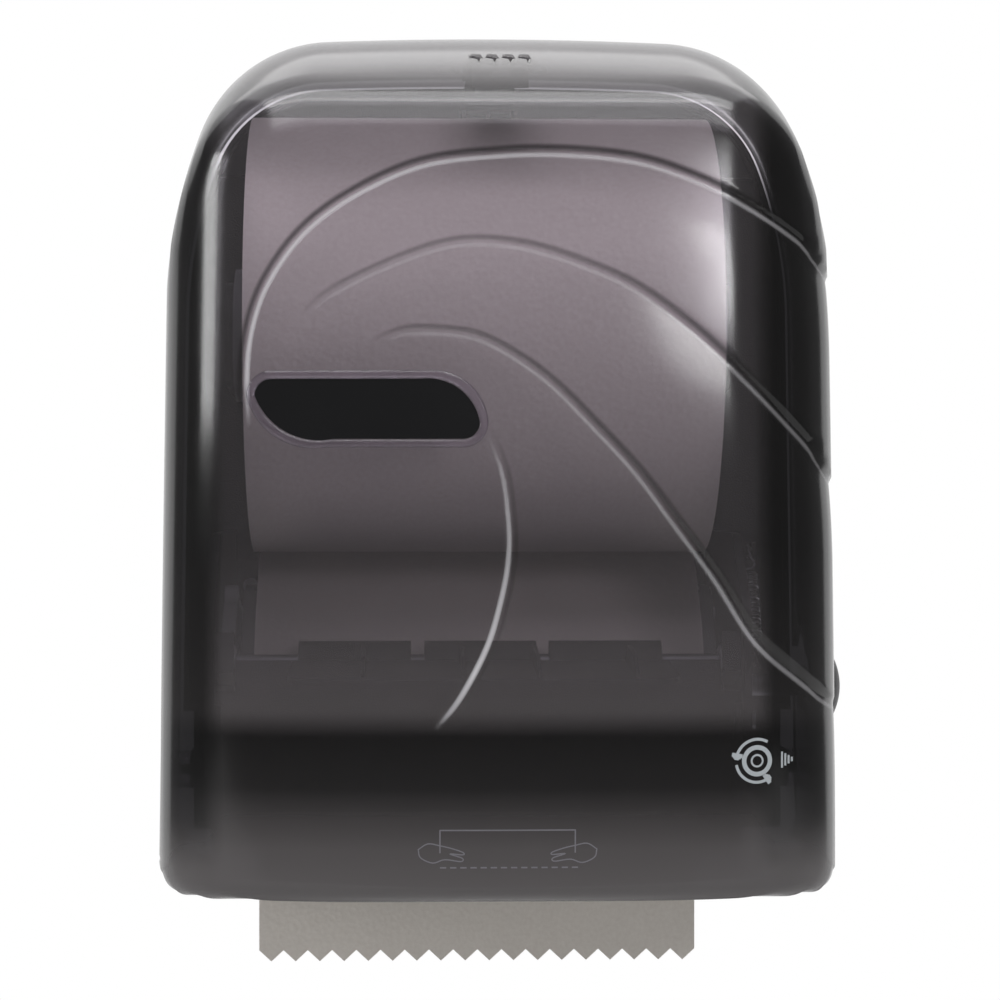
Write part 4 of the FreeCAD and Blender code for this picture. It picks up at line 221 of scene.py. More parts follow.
# Drum: two half shells and two end caps of dark grey nylon, screwed together round the shaft.
# The mouldings come out semi-matt.
repaint(moulded("drum_nylon", "#3A3B3D", "#45464A", rough=0.38, grain=0.67, relief=0.4),
        "drum_shell_front", "drum_shell_rear", "drum_cap_left", "drum_cap_right")


# Badge plate: a bare plate of polished black plastic, stuck into the raised rim on the cover.
# Its polished mould leaves hardly any grain.
repaint(moulded("badge_gloss_black", "#0B0B0C", "#121214", rough=0.14, grain=0.45, relief=0.06),
        "badge_plate")


# Drum bands and pinch sleeves: ground black rubber, stretched over the drum and the pinch shaft.
# Grinding leaves it dull and slightly rough, which is what grips the towel.
repaint(moulded("band_rubber", "#161616", "#202020", rough=0.72, grain=0.38, relief=0.8),
        "friction_bands", "pinch_sleeves")


# Screws and pins: zinc-plated steel, driven into bosses or pressed into lugs. The plating is bright and
# bluish, over the fine marks of the turned or cold-headed wire.
MARK_PITCH, MARK_HEIGHT = 1.11, 0.0002
METAL_GLOSS_SPREAD = (-0.07, 0.1)


def metal(name, colour, rough, length):
    """Metal with fine lines along X: a noise drawn out to a length in millimetres, in gloss and in relief.

    The real lines are some hundredths of a millimetre apart. They are drawn 1 mm apart, so that they show.
    """
    material, tree, surface = new_material(name)
    place = add(tree, "ShaderNodeTexCoord").outputs["Object"]
    stretch = (per_metre(length), per_metre(MARK_PITCH), per_metre(MARK_PITCH))
    drawn = add(tree, "ShaderNodeMapping", {"Vector": place, "Scale": stretch})
    lines = add(tree, "ShaderNodeTexNoise", {"Vector": drawn.outputs[0], "Scale": 1.0, "Detail": 3.0})
    glossy, dull = (rough + spread for spread in METAL_GLOSS_SPREAD)
    shine = add(tree, "ShaderNodeMapRange", {"Value": lines.outputs["Fac"],
                                             "To Min": glossy, "To Max": dull})
    bump = add(tree, "ShaderNodeBump", {"Height": lines.outputs["Fac"], "Strength": 0.15,
                                        "Distance": MARK_HEIGHT})
    shader = add(tree, "ShaderNodeBsdfPrincipled", {"Base Color": linear(colour), "Metallic": 1.0,
                                                    "Roughness": shine.outputs[0], "Normal": bump.outputs[0]})
    tree.links.new(shader.outputs[0], surface)
    return material


repaint(metal("zinc_plated_steel", "#B9BBBE", rough=0.3, length=MARK_PITCH),
        "frame_screws", "guide_screws", "latch_screws", "drum_screws", "knob_screw", "blade_screws",
        "cover_hinge_pins", "arm_pivot_pin", "latch_pin")


# Shafts, blade and springs: steel, held in the bushes, on the knife carrier and on their hooks. The shafts
# are ground dull along their length, the toothed blade is polished, and the springs are coiled from wire.
repaint(metal("ground_steel", "#77787C", rough=0.36, length=25.0), "drum_shaft", "pinch_shaft")
repaint(metal("blade_steel", "#CDCED1", rough=0.16, length=67.0), "knife_blade")
repaint(metal("spring_wire", "#9C9DA0", rough=0.28, length=MARK_PITCH),
        "return_spring", "pinch_springs", "knife_spring", "latch_spring", "arm_spring")


# Paper: the towel wound on the roll, the web that runs round the drum to its serrated tail, and the roll's
# board core. The towel is embossed tissue, soft and matt; the edges of its windings ring the roll's ends.
ROLL_AXIS = (0.0, -0.118, 0.054)
FIBRE_PITCH, DIMPLE_PITCH, WINDING_PITCH = 1.92, 3.03, 1.21
PAPER_RELIEF = 0.0003
WAVE_PERIOD = math.pi / 10


def towel_paper(name, colour, shade, windings):
    """Towel paper: embossed dimples over matted fibres, and rings of a strength round the roll's axis.

    Fibres and windings are really some tenths of a millimetre apart and are drawn coarser, so that they show.
    The wave pattern's own period is a tenth of pi, so its scale is that period over the real pitch.
    """
    material, tree, surface = new_material(name)
    place = add(tree, "ShaderNodeTexCoord").outputs["Object"]
    fibres = add(tree, "ShaderNodeTexNoise",
                 {"Vector": place, "Scale": per_metre(FIBRE_PITCH), "Detail": 5.0})
    dimples = add(tree, "ShaderNodeTexVoronoi", {"Vector": place, "Scale": per_metre(DIMPLE_PITCH)})
    tone = add(tree, "ShaderNodeMix", {"Factor": fibres.outputs["Fac"], 6: linear(shade), 7: linear(colour)},
               data_type="RGBA")
    height = add(tree, "ShaderNodeMath", {0: fibres.outputs["Fac"], 1: dimples.outputs["Distance"]},
                 operation="ADD")
    round_axis = add(tree, "ShaderNodeVectorMath", {0: place, 1: ROLL_AXIS}, operation="SUBTRACT")
    rings = add(tree, "ShaderNodeTexWave",
                {"Vector": round_axis.outputs[0], "Scale": WAVE_PERIOD * per_metre(WINDING_PITCH),
                 "Distortion": 1.4, "Detail Scale": 3.0}, wave_type="RINGS", rings_direction="X")
    layers = add(tree, "ShaderNodeMath", {0: rings.outputs["Fac"], 1: windings}, operation="MULTIPLY")
    height = add(tree, "ShaderNodeMath", {0: layers.outputs[0], 1: height.outputs[0]}, operation="ADD")
    tone = add(tree, "ShaderNodeMix", {"Factor": layers.outputs[0], 6: tone.outputs[2], 7: linear(shade)},
               data_type="RGBA")
    bump = add(tree, "ShaderNodeBump", {"Height": height.outputs[0], "Strength": 0.3,
                                        "Distance": PAPER_RELIEF})
    shader = add(tree, "ShaderNodeBsdfPrincipled", {"Base Color": tone.outputs[2], "Roughness": 0.92,
                                                    "Normal": bump.outputs[0]})
    tree.links.new(shader.outputs[0], surface)
    return material


repaint(towel_paper("towel_roll_paper", "#DAD5CE", "#C6BFB7", windings=0.9), "paper_roll")
repaint(towel_paper("towel_paper", "#E0DBD4", "#CFC8C0", windings=0.0), "paper_web")
repaint(towel_paper("core_board", "#B79F80", "#A08868", windings=0.5), "roll_core")


# Cover: one smoke-grey translucent polycarbonate shell, injection moulded 3 mm thick and hung on two pins.
# Its skin is glossy with a faint ripple. Painted shade keeps it clear over the roll and makes it near black
# round it and below. Its haze is thicker towards the bottom and carries a painted reflection in a band low on
# the front.
# Along each moulded crease a dark edge is painted shade and, just inside it, a pale lip is a painted
# highlight.
SMOKE_TINT = "#F6F3F8"
SMOKE_EDGE = "#BDBCC1"
# Painted shade in the dark tint round the roll and in the crease tint; painted reflection in part of the
# haze; painted highlight in the lip colour.
SMOKE_PAINTED_SHADE = "#5A595C"
SMOKE_CREASE_SHADE = "#39383C"
SMOKE_HAZE_AND_SHEEN = "#7E797A"
SMOKE_LIP_HIGHLIGHT = "#DAD8DC"
SMOKE_IOR = 1.49
SMOKE_GLOSS = (0.11, 0.19)
RIPPLE_PITCH, WEAR_PITCH = 111.0, 16.7
RIPPLE_HEIGHT = 0.002
LIP_HIGHLIGHT_GAIN = 6.0


def smoke_plastic():
    """Tinted clear plastic with haze in its thickness, under a gloss that grows with the Fresnel share;
    painted shade darkens its tint and painted highlights pale its crease lips.
    """
    material, tree, surface = new_material("smoke_polycarbonate")
    place = add(tree, "ShaderNodeTexCoord").outputs["Object"]
    crease = add(tree, "ShaderNodeAttribute", attribute_name="crease").outputs["Fac"]
    wide = add(tree, "ShaderNodeAttribute", attribute_name="crease_width").outputs["Fac"]

    def stripe(strength, middle, half, growth):
        """A stripe drawn beside the crease, in millimetres, for its painted shade and for its painted
        highlight: full at its middle and none half a width away.

        The crease's extra width moves the middle by its share of growth and adds the rest to the half width.
        """
        strong = add(tree, "ShaderNodeAttribute", attribute_name=strength).outputs["Fac"]
        centre = add(tree, "ShaderNodeMath", {0: wide, 1: growth, 2: middle}, operation="MULTIPLY_ADD")
        offset = add(tree, "ShaderNodeMath", {0: crease, 1: centre.outputs[0]}, operation="SUBTRACT")
        away = add(tree, "ShaderNodeMath", {0: offset.outputs[0]}, operation="ABSOLUTE")
        reach = add(tree, "ShaderNodeMath", {0: wide, 1: 1.0 - growth, 2: half}, operation="MULTIPLY_ADD")
        fall = add(tree, "ShaderNodeMapRange",
                   {"Value": away.outputs[0], "From Max": reach.outputs[0], "To Min": 1.0, "To Max": 0.0},
                   interpolation_type="SMOOTHSTEP")
        full = add(tree, "ShaderNodeMath", {0: fall.outputs[0], 1: strong}, operation="MULTIPLY")
        return full.outputs[0]

    ripple = add(tree, "ShaderNodeTexNoise",
                 {"Vector": place, "Scale": per_metre(RIPPLE_PITCH), "Detail": 2.0})
    bump = add(tree, "ShaderNodeBump", {"Height": ripple.outputs["Fac"], "Strength": 0.05,
                                        "Distance": RIPPLE_HEIGHT})
    geometry = add(tree, "ShaderNodeNewGeometry")
    ior = add(tree, "ShaderNodeMapRange", {"Value": geometry.outputs["Backfacing"],
                                           "To Min": SMOKE_IOR, "To Max": 1.0 / SMOKE_IOR})
    fresnel = add(tree, "ShaderNodeFresnel", {"IOR": ior.outputs[0], "Normal": bump.outputs[0]})
    facing = add(tree, "ShaderNodeLayerWeight", {"Blend": 0.35})
    tint = add(tree, "ShaderNodeMix", {"Factor": facing.outputs["Facing"], 6: linear(SMOKE_TINT),
                                       7: linear(SMOKE_EDGE)}, data_type="RGBA")
    # Painted shade: the tint darkens by place, round the roll, below it and on top.
    shade = add(tree, "ShaderNodeAttribute", attribute_name="smoke_painted_shade").outputs["Fac"]
    # Haze share by place: real haze, with a band low on the front that is a painted reflection.
    haze_and_sheen_share = add(tree, "ShaderNodeAttribute", attribute_name="smoke_haze_and_sheen").outputs["Fac"]
    tint = add(tree, "ShaderNodeMix", {"Factor": shade, 6: tint.outputs[2], 7: linear(SMOKE_PAINTED_SHADE)},
               data_type="RGBA")
    # Painted shade: a dark stripe just outside each crease darkens the tint.
    crease_shade_stripe = stripe("crease_painted_shade", middle=-0.9, half=1.7, growth=0.5)
    edge = add(tree, "ShaderNodeMix", {"Factor": crease_shade_stripe, 6: tint.outputs[2], 7: linear(SMOKE_CREASE_SHADE)},
               data_type="RGBA")
    clear = add(tree, "ShaderNodeBsdfTransparent", {"Color": edge.outputs[2]})
    # Painted highlight: a pale lip just inside each crease, drawn as a pale share of the haze.
    lip = stripe("crease_painted_highlight", middle=1.9, half=1.8, growth=1.0)
    pale = add(tree, "ShaderNodeMath", {0: lip, 1: LIP_HIGHLIGHT_GAIN}, operation="MULTIPLY", use_clamp=True)
    cloud = add(tree, "ShaderNodeMix", {"Factor": pale.outputs[0], 6: linear(SMOKE_HAZE_AND_SHEEN),
                                        7: linear(SMOKE_LIP_HIGHLIGHT)}, data_type="RGBA")
    haze = add(tree, "ShaderNodeBsdfDiffuse", {"Color": cloud.outputs[2]})
    share = add(tree, "ShaderNodeMath", {0: lip, 1: haze_and_sheen_share}, operation="ADD")
    body = add(tree, "ShaderNodeMixShader", {0: share.outputs[0], 1: clear.outputs[0], 2: haze.outputs[0]})
    wear = add(tree, "ShaderNodeTexNoise", {"Vector": place, "Scale": per_metre(WEAR_PITCH), "Detail": 4.0})
    rough = add(tree, "ShaderNodeMapRange", {"Value": wear.outputs["Fac"],
                                             "To Min": SMOKE_GLOSS[0], "To Max": SMOKE_GLOSS[1]})
    gloss = add(tree, "ShaderNodeBsdfGlossy", {"Roughness": rough.outputs[0], "Normal": bump.outputs[0]})
    both = add(tree, "ShaderNodeMixShader", {0: fresnel.outputs[0], 1: body.outputs[0], 2: gloss.outputs[0]})
    tree.links.new(both.outputs[0], surface)
    return material


# Cover, the skin, in millimetres: the sides are a tapering arched outline, drawn through the depth, that
# domes down at the front. The front is bowed and crowned, with round corners. The skin lies where the larger
# of the two distances is nothing, and it is eased where the two forms cross.
HALF_WIDTH, HALF_HEIGHT, RIM_Y, FRONT_Y, WALL = 156.0, 187.5, -4.0, -238.0, 3.0
SIDE_DRAFT, SIDE_TAPER = math.tan(math.radians(3.0)), math.tan(math.radians(0.825))
DOME_Y, DOME_R = -111.0, 194.0
SHOULDER_START, SHOULDER_UPPER_R, SHOULDER_TURN, SHOULDER_R = 70.0, 221.0, math.radians(20.0), 63.0
SHOULDER_FALL, UPPER_SHRINK, CORNER_SHRINK = 0.53, 0.88, 0.26
BOTTOM_CORNER_R = 11.0
FRONT_CORNER_R, FRONT_BOW_R, FRONT_CROWN_R, FRONT_CROWN_Z = 57.0, 1100.0, 1800.0, -20.0
EDGE_ROUND, BOTTOM_ROUND, ROUND_HEIGHTS = 15.0, 4.0, (-160.0, -60.0)
ROUND_GAIN, ROUND_FROM = 42.0, 0.02
PROBE = 0.05
FAR_INSIDE, JUST_INSIDE, CORNER_INSIDE, INSIDE_SLOPE = -1e3, 0.3, 0.5, 0.2
GRID_X, GRID_Z, GRID_Y, INNER_STEP = 200, 240, 20, 4
CORE_HALF_X, CORE_DEPTH, CORE_HALF_Z, CORE_Z = 66, 150, 112, -8
HULL_HALF_X, HULL_DEPTH, HULL_HALF_Z = 162, 240, 193
HALVINGS = 34


def side_distance(x, y, z):
    """Distance outside the arched outline at each depth: straight side, two shoulder arcs, top arc, bottom.

    The dome's drop is the sagitta of its circle at each depth. It lowers the top and shrinks the shoulders.
    Each arc starts where the one before it has turned to its end, so the outline has no corner above.
    """
    x = np.abs(x)
    run = np.maximum(DOME_Y - y, 0.0)
    drop = DOME_R - np.sqrt(DOME_R**2 - run**2)
    half = HALF_WIDTH - SIDE_DRAFT * (RIM_Y - y)
    start = SHOULDER_START - SHOULDER_FALL * drop
    upper = SHOULDER_UPPER_R - UPPER_SHRINK * drop
    corner = SHOULDER_R - CORNER_SHRINK * drop
    lean = math.atan(SIDE_TAPER)
    side_x = half - SIDE_TAPER * (start + HALF_HEIGHT)
    c1x, c1z = side_x - upper * math.cos(lean), start - upper * math.sin(lean)
    turned = lean + SHOULDER_TURN
    qx, qz = c1x + upper * math.cos(turned), c1z + upper * math.sin(turned)
    c2x, c2z = qx - corner * math.cos(turned), qz - corner * math.sin(turned)
    fall = c2z - (HALF_HEIGHT - drop)
    arch = (c2x**2 + fall**2 - corner**2) / (-2 * (fall + corner))
    arch_z = HALF_HEIGHT - drop - arch
    straight = (x - half + SIDE_TAPER * (z + HALF_HEIGHT)) * math.cos(lean)
    first = np.hypot(x - c1x, z - c1z) - upper
    second = np.hypot(x - c2x, z - c2z) - corner
    top = np.hypot(x, z - arch_z) - arch
    turn1 = np.arctan2(z - c1z, x - c1x)
    turn2 = np.arctan2(z - c2z, x - c2x)
    end = np.arctan2(c2z - arch_z, c2x)
    shoulder = np.where(np.minimum(turn1, turn2) < turned, first, second)
    sides = np.where(turn1 < lean, straight, np.where(turn2 < end, shoulder, top))
    low_z = -HALF_HEIGHT + BOTTOM_CORNER_R
    low_x = half - SIDE_TAPER * BOTTOM_CORNER_R - BOTTOM_CORNER_R
    low = np.hypot(np.maximum(x - low_x, 0.0), np.maximum(low_z - z, 0.0)) - BOTTOM_CORNER_R
    low = np.where(x < low_x, low_z - z - BOTTOM_CORNER_R, low)
    below = np.maximum(low, np.where(x < low_x, FAR_INSIDE, sides - JUST_INSIDE))
    return np.where(z < low_z, below, np.maximum(sides, low))


def front_distance(x, y, z):
    """Distance outside the bowed front at each height: a flat bow, then an upright arc round each corner.

    The bow's apex goes back with the square of the height from the crown. The corner's circle touches the
    drafted side and, from inside, the bow's circle, which gives its centre as the root of a quadratic.
    """
    x = np.abs(x)
    apex = FRONT_Y + (z - FRONT_CROWN_Z)**2 / (2 * FRONT_CROWN_R)
    draft = math.atan(SIDE_DRAFT)
    half = HALF_WIDTH - SIDE_TAPER * (z + HALF_HEIGHT)
    reach = half * math.cos(draft) - RIM_Y * math.sin(draft) - FRONT_CORNER_R
    base_x, base_y = math.cos(draft) * reach, -math.sin(draft) * reach - apex - FRONT_BOW_R
    run_x, run_y = math.sin(draft), math.cos(draft)
    b = base_x * run_x + base_y * run_y
    c = base_x**2 + base_y**2 - (FRONT_BOW_R - FRONT_CORNER_R)**2
    s = -b - np.sqrt(b * b - c)
    cx, cy = math.cos(draft) * reach + run_x * s, -math.sin(draft) * reach + run_y * s
    bow = np.hypot(x, y - apex - FRONT_BOW_R) - FRONT_BOW_R
    corner = np.hypot(x - cx, y - cy) - FRONT_CORNER_R
    front_turn = np.arctan2(cy - apex - FRONT_BOW_R, cx)
    turn = np.arctan2(y - cy, x - cx)
    bowed = (turn < front_turn) | (y > cy + INSIDE_SLOPE * (x - cx)) & (x < cx)
    beside = (x - cx) * math.cos(draft) - (y - cy) * math.sin(draft) - FRONT_CORNER_R
    return np.where(bowed, bow, np.where(turn > -draft, beside - CORNER_INSIDE, corner))


def skin_distance(p, rounding, inset):
    """Distance outside the skin: the larger of the two forms, eased where they are nearly alike.

    The easing is the square of what their difference leaves of the rounding, over four times the rounding.
    """
    a = side_distance(p[:, 0], p[:, 1], p[:, 2]) + inset
    b = front_distance(p[:, 0], p[:, 1], p[:, 2]) + inset
    ease = np.maximum(rounding - np.abs(a - b), 0.0)
    return np.maximum(a, b) + ease**2 / (4 * np.maximum(rounding, 1e-6))


def edge_rounding(p):
    """How wide the easing is at each place: none where the two forms run alongside, most where they cross.

    It grows with one less the cosine of the angle between the two forms' normals, up to a limit by height.
    """
    normals = []
    for form in (side_distance, front_distance):
        steps = [form(*(p + d).T) - form(*(p - d).T) for d in np.eye(3) * PROBE]
        normal = np.stack(steps, axis=1)
        normals.append(normal / np.linalg.norm(normal, axis=1, keepdims=True))
    cross = 1 - (normals[0] * normals[1]).sum(axis=1)
    most = np.interp(p[:, 2], ROUND_HEIGHTS, (BOTTOM_ROUND, EDGE_ROUND))
    return np.minimum(ROUND_GAIN * np.maximum(cross - ROUND_FROM, 0.0), most)


def shell_grid(count_x, count_z, count_y):
    """Rays through a box that is open behind: where they start in its core and where they end outside it.

    The rays stand in layers round its sides, by depth, and then in a grid over its front.
    """
    loop_x = np.concatenate([np.linspace(-1, 1, count_x + 1)[:-1], np.ones(count_z),
                             np.linspace(1, -1, count_x + 1)[:-1], -np.ones(count_z)])
    loop_z = np.concatenate([-np.ones(count_x), np.linspace(-1, 1, count_z + 1)[:-1],
                             np.ones(count_x), np.linspace(1, -1, count_z + 1)[:-1]])
    depth = np.repeat(np.arange(count_y) / count_y, len(loop_x))
    gx, gz = np.meshgrid(np.linspace(-1, 1, count_x + 1), np.linspace(-1, 1, count_z + 1))
    across = np.concatenate([np.tile(loop_x, count_y), gx.ravel()])
    back = np.concatenate([depth, np.ones(gx.size)])
    up = np.concatenate([np.tile(loop_z, count_y), gz.ravel()])
    core = np.stack([across * CORE_HALF_X, RIM_Y - back * CORE_DEPTH, up * CORE_HALF_Z + CORE_Z], axis=1)
    hull = np.stack([across * HULL_HALF_X, RIM_Y - back * HULL_DEPTH, up * HULL_HALF_Z], axis=1)
    return core, hull


def shell_faces(count_x, count_z, count_y):
    """Quads between neighbouring layers of the sides, on to the front's border, and over the front."""
    loop = 2 * (count_x + count_z)
    k = np.arange(loop)
    k_next = (k + 1) % loop
    layers = [np.stack([n * loop + k, n * loop + k_next, (n + 1) * loop + k_next, (n + 1) * loop + k], axis=1)
              for n in range(count_y - 1)]
    base = count_y * loop
    cell = base + np.arange((count_x + 1) * (count_z + 1)).reshape(count_z + 1, count_x + 1)
    border = np.concatenate([cell[0, :-1], cell[:-1, -1], cell[-1, :0:-1], cell[:0:-1, 0]])
    last = (count_y - 1) * loop
    layers.append(np.stack([last + k, last + k_next, border[k_next], border[k]], axis=1))
    front = np.stack([cell[:-1, :-1], cell[:-1, 1:], cell[1:, 1:], cell[1:, :-1]], axis=-1).reshape(-1, 4)
    return np.concatenate(layers + [front])


def on_skin(core, hull, inset):
    """The places where the rays leave the skin, found by halving, first with sharp edges and then eased."""
    rounding = np.zeros(len(core))
    for _ in range(2):
        low, high = np.zeros(len(core)), np.ones(len(core))
        for _ in range(HALVINGS):
            middle = (low + high) / 2
            outside = skin_distance(core + (hull - core) * middle[:, None], rounding, inset) > 0
            low, high = np.where(outside, low, middle), np.where(outside, middle, high)
        place = core + (hull - core) * ((low + high) / 2)[:, None]
        rounding = edge_rounding(place)
    return place


def outward(places, faces):
    """Unit normals at the places, averaged over the four-cornered faces that meet there."""
    a, b, c, d = (places[faces[:, k]] for k in range(4))
    across = np.cross(c - a, d - b)
    normals = np.zeros_like(places)
    for k in range(4):
        np.add.at(normals, faces[:, k], across)
    return normals / np.linalg.norm(normals, axis=1, keepdims=True)


# Cover, the swooshes: four curved lines, as they run over the front in across and up places. On its right,
# going along it, each line steps in and the skin rises slowly again. The dark edge, painted shade, the lip, a
# painted highlight, and the extra width have a value at each line's start and end.
SWOOSH_LINES = (
    ((-107, 8), (-108, 30), (-106, 50), (-99, 70), (-84, 91), (-63, 107), (-34, 120), (-1, 124.5), (28, 125),
     (57, 122), (82, 114), (103, 104), (126, 91), (140, 82), (158, 76), (190, 70), (235, 64)),
    ((-84, 54), (-71, 66), (-42, 80), (-18, 87), (7, 86), (32, 79), (57, 68), (82, 50), (107, 27), (126, 9),
     (141, -4), (158, -11), (190, -18), (235, -24)),
    ((-57, 43), (-42, 49.5), (-26, 50), (-9.5, 47.5), (7, 39), (23, 27), (40, 10), (57, -8), (73, -29),
     (90, -51.5), (107, -77), (126, -93), (139, -101), (158, -106), (180, -109)),
    ((-7, 12), (1, -8), (4, -29), (4, -45), (1, -62), (-5, -82), (-16, -103), (-27, -117)),
)
SWOOSH_DEPTHS = (1.3, 1.4, 1.4, 0.7)
SWOOSH_RISES = (34.0, 36.0, 40.0, 26.0)
SWOOSH_FADES = (70.0, 70.0, 40.0, 30.0)
SWOOSH_START, SWOOSH_STEP = 22.0, 2.6
SWOOSH_BACK, SWOOSH_BACK_FADE = -120.0, 40.0
CORNER_DEPTH, CORNER_UNROLL, CORNER_X, CORNER_BLEND = 24.0, 0.55, 110.0, 30.0
# Painted shade along each crease, at each line's start and end.
CREASE_PAINTED_SHADE = np.array(((0.7, 0.95), (0.35, 1.0), (0.45, 1.0), (0.25, 0.3)))
# Painted highlight on each crease's lip, at each line's start and end.
CREASE_PAINTED_HIGHLIGHT = np.array(((0.5, 0.1), (0.12, 0.2), (0.12, 0.26), (0.1, 0.75)))
CREASE_WIDTH = np.array(((0.3, 1.6), (0.0, 2.6), (0.0, 2.4), (0.0, 0.0)))
CREASE_REACH, CREASE_FADE, OUTER_SKIN, FAR_AWAY = 9.5, 3.0, -2.3, 1e3


def smooth_line(points, fineness=14):
    """A dense curve through the points: a Catmull-Rom cubic through each four neighbours in turn."""
    p = np.array(points, float)
    p = np.concatenate([[2 * p[0] - p[1]], p, [2 * p[-1] - p[-2]]])
    t = np.linspace(0, 1, fineness, endpoint=False)[None, :, None]
    a, b, c, d = (p[k:len(p) - 3 + k][:, None, :] for k in range(4))
    curve = 0.5 * (2 * b + (c - a) * t + (2 * a - 5 * b + 4 * c - d) * t**2 + (3 * b - a - 3 * c + d) * t**3)
    return np.concatenate([curve.reshape(-1, 2), p[-2:-1]])


def line_distance(flat, line):
    """Distance of flat places from a curve, positive on its right, and their ways from its start and end."""
    best = np.full(len(flat), np.inf)
    signed, share = np.zeros(len(flat)), np.zeros(len(flat))
    length = np.concatenate([[0], np.cumsum(np.linalg.norm(np.diff(line, axis=0), axis=1))])
    for n, (start, step) in enumerate(zip(line[:-1], np.diff(line, axis=0))):
        along = np.clip(((flat - start) @ step) / (step @ step), 0, 1)
        away = flat - start - along[:, None] * step
        d = np.hypot(away[:, 0], away[:, 1])
        near = d < best
        side = np.sign(step[1] * away[:, 0] - step[0] * away[:, 1])
        best, signed = np.where(near, d, best), np.where(near, d * side, signed)
        share = np.where(near, (length[n] + along * (length[n + 1] - length[n])), share)
    return signed, share, length[-1] - share


def unrolled(p):
    """Flat places of the skin: across the front as it is seen, and on round the corners by the depth run."""
    back = np.maximum(p[:, 1] - FRONT_Y - CORNER_DEPTH, 0.0)
    blend = np.clip((np.abs(p[:, 0]) - CORNER_X) / CORNER_BLEND, 0, 1)
    return np.stack([p[:, 0] + np.sign(p[:, 0]) * CORNER_UNROLL * back * blend, p[:, 2]], axis=1)


def swoosh_fields(p):
    """For each place and swoosh line: signed distance, how strongly it is cut, and the share run along it."""
    flat = unrolled(p)
    fields = []
    for line, fade_end in zip(SWOOSH_LINES, SWOOSH_FADES):
        signed, from_start, to_end = line_distance(flat, smooth_line(line))
        strength = np.clip(from_start / SWOOSH_START, 0, 1) * np.clip(to_end / fade_end, 0, 1)
        strength *= np.clip((SWOOSH_BACK - p[:, 1]) / SWOOSH_BACK_FADE, 0, 1)
        fields.append((signed, strength, from_start / (from_start + to_end)))
    return fields


def swoosh_depth(p):
    """How far the skin is sunk: a smooth step down just inside each line, then a slow rise by a square."""
    depth = np.zeros(len(p))
    for (signed, strength, _), deep, rise in zip(swoosh_fields(p), SWOOSH_DEPTHS, SWOOSH_RISES):
        step = np.clip(signed / SWOOSH_STEP + 0.5, 0, 1)
        step = step * step * (3 - 2 * step)
        fade = np.clip(1 - signed / rise, 0, 1)
        depth += deep * strength * step * fade**2
    return depth


# Cover, the mesh: a fine outer skin with the swooshes sunk in, a plainer inner one, and a rim that joins the
# two at the wall. Then the openings are cut: the bottom, the heels that clear the wall plate as the cover
# swings on its pins, the slot and hole for the knob's shaft, and four short slots for the key on top.
HINGE_Y, HINGE_Z, HEEL_R = -40.0, -150.0, 38.5
SHAFT_Y, SHAFT_Z, SLOT_HALF, SHAFT_HOLE_R, SLOT_END = -80.0, -107.5, 9.0, 14.0, 20.0
LOCK_Y, LOCK_PITCH, LOCK_LENGTH, LOCK_WIDTH, LOCK_TILT = -195.0, 7.0, 5.0, 2.4, math.radians(55.0)
LOCK_COUNT, LOCK_Z = 4, (120, 190)
BELOW, FLOOR_TOP, REAR_TOP, OPENING_INSET = -190, -183, -183.5, 20.0
REAR_HALF, REAR_Y = 152, (-91, -3)
LEFT_SIDE, RIGHT_SIDE, SHAFT_SIDE = (-161, -126), (126, 161), (136, 161)
PLAN_Y, PLAN_Z, PLAN_R, PLAN_COUNT = -90, -150, 200, 96
HOLE_COUNT, SLOT_END_COUNT = 48, 16


def prism(name, outline, axis, start, end, material):
    """A closed prism from a flat outline, drawn along an axis, in millimetres. It may turn either way."""
    outline = np.array(outline, float)
    turn = (outline[:, 0] * np.roll(outline[:, 1], -1) - outline[:, 1] * np.roll(outline[:, 0], -1)).sum()
    outline = outline[::-1] if (turn < 0) != (axis == 1) else outline
    count = len(outline)
    places = np.insert(np.tile(outline, (2, 1)), axis, np.repeat((start, end), count), axis=1)
    k = np.arange(count)
    sides = np.stack([k, (k + 1) % count, (k + 1) % count + count, k + count], axis=1)
    faces = [k[::-1].tolist(), (k + count).tolist()] + sides.tolist()
    return new_object(name, places / 1000, faces, material, smooth=False)


def carve(obj, tools):
    """Cuts closed tools out of a mesh object for good, and removes the tools."""
    group = bpy.data.collections.new("tools")
    for tool in tools:
        group.objects.link(tool)
    cut = obj.modifiers.new("cut", "BOOLEAN")
    cut.operation, cut.solver = "DIFFERENCE", "EXACT"
    cut.operand_type, cut.collection = "COLLECTION", group
    view = bpy.context.evaluated_depsgraph_get()
    whole, carved = obj.data, bpy.data.meshes.new_from_object(obj.evaluated_get(view))
    obj.modifiers.clear()
    obj.data = carved
    bpy.data.meshes.remove(whole)
    for tool in tools:
        bpy.data.objects.remove(tool)
    bpy.data.collections.remove(group)


def around(centre, radius, first, last, count=24):
    """Places on an arc between two angles in degrees: the centre and the radius times cosine and sine."""
    a = np.radians(np.linspace(first, last, count))
    return np.stack([centre[0] + radius * np.cos(a), centre[1] + radius * np.sin(a)], axis=1)


def circle(centre, radius, count):
    """Places round a full circle, the last of them not on the first."""
    return around(centre, radius, 0, 360, count + 1)[:-1]


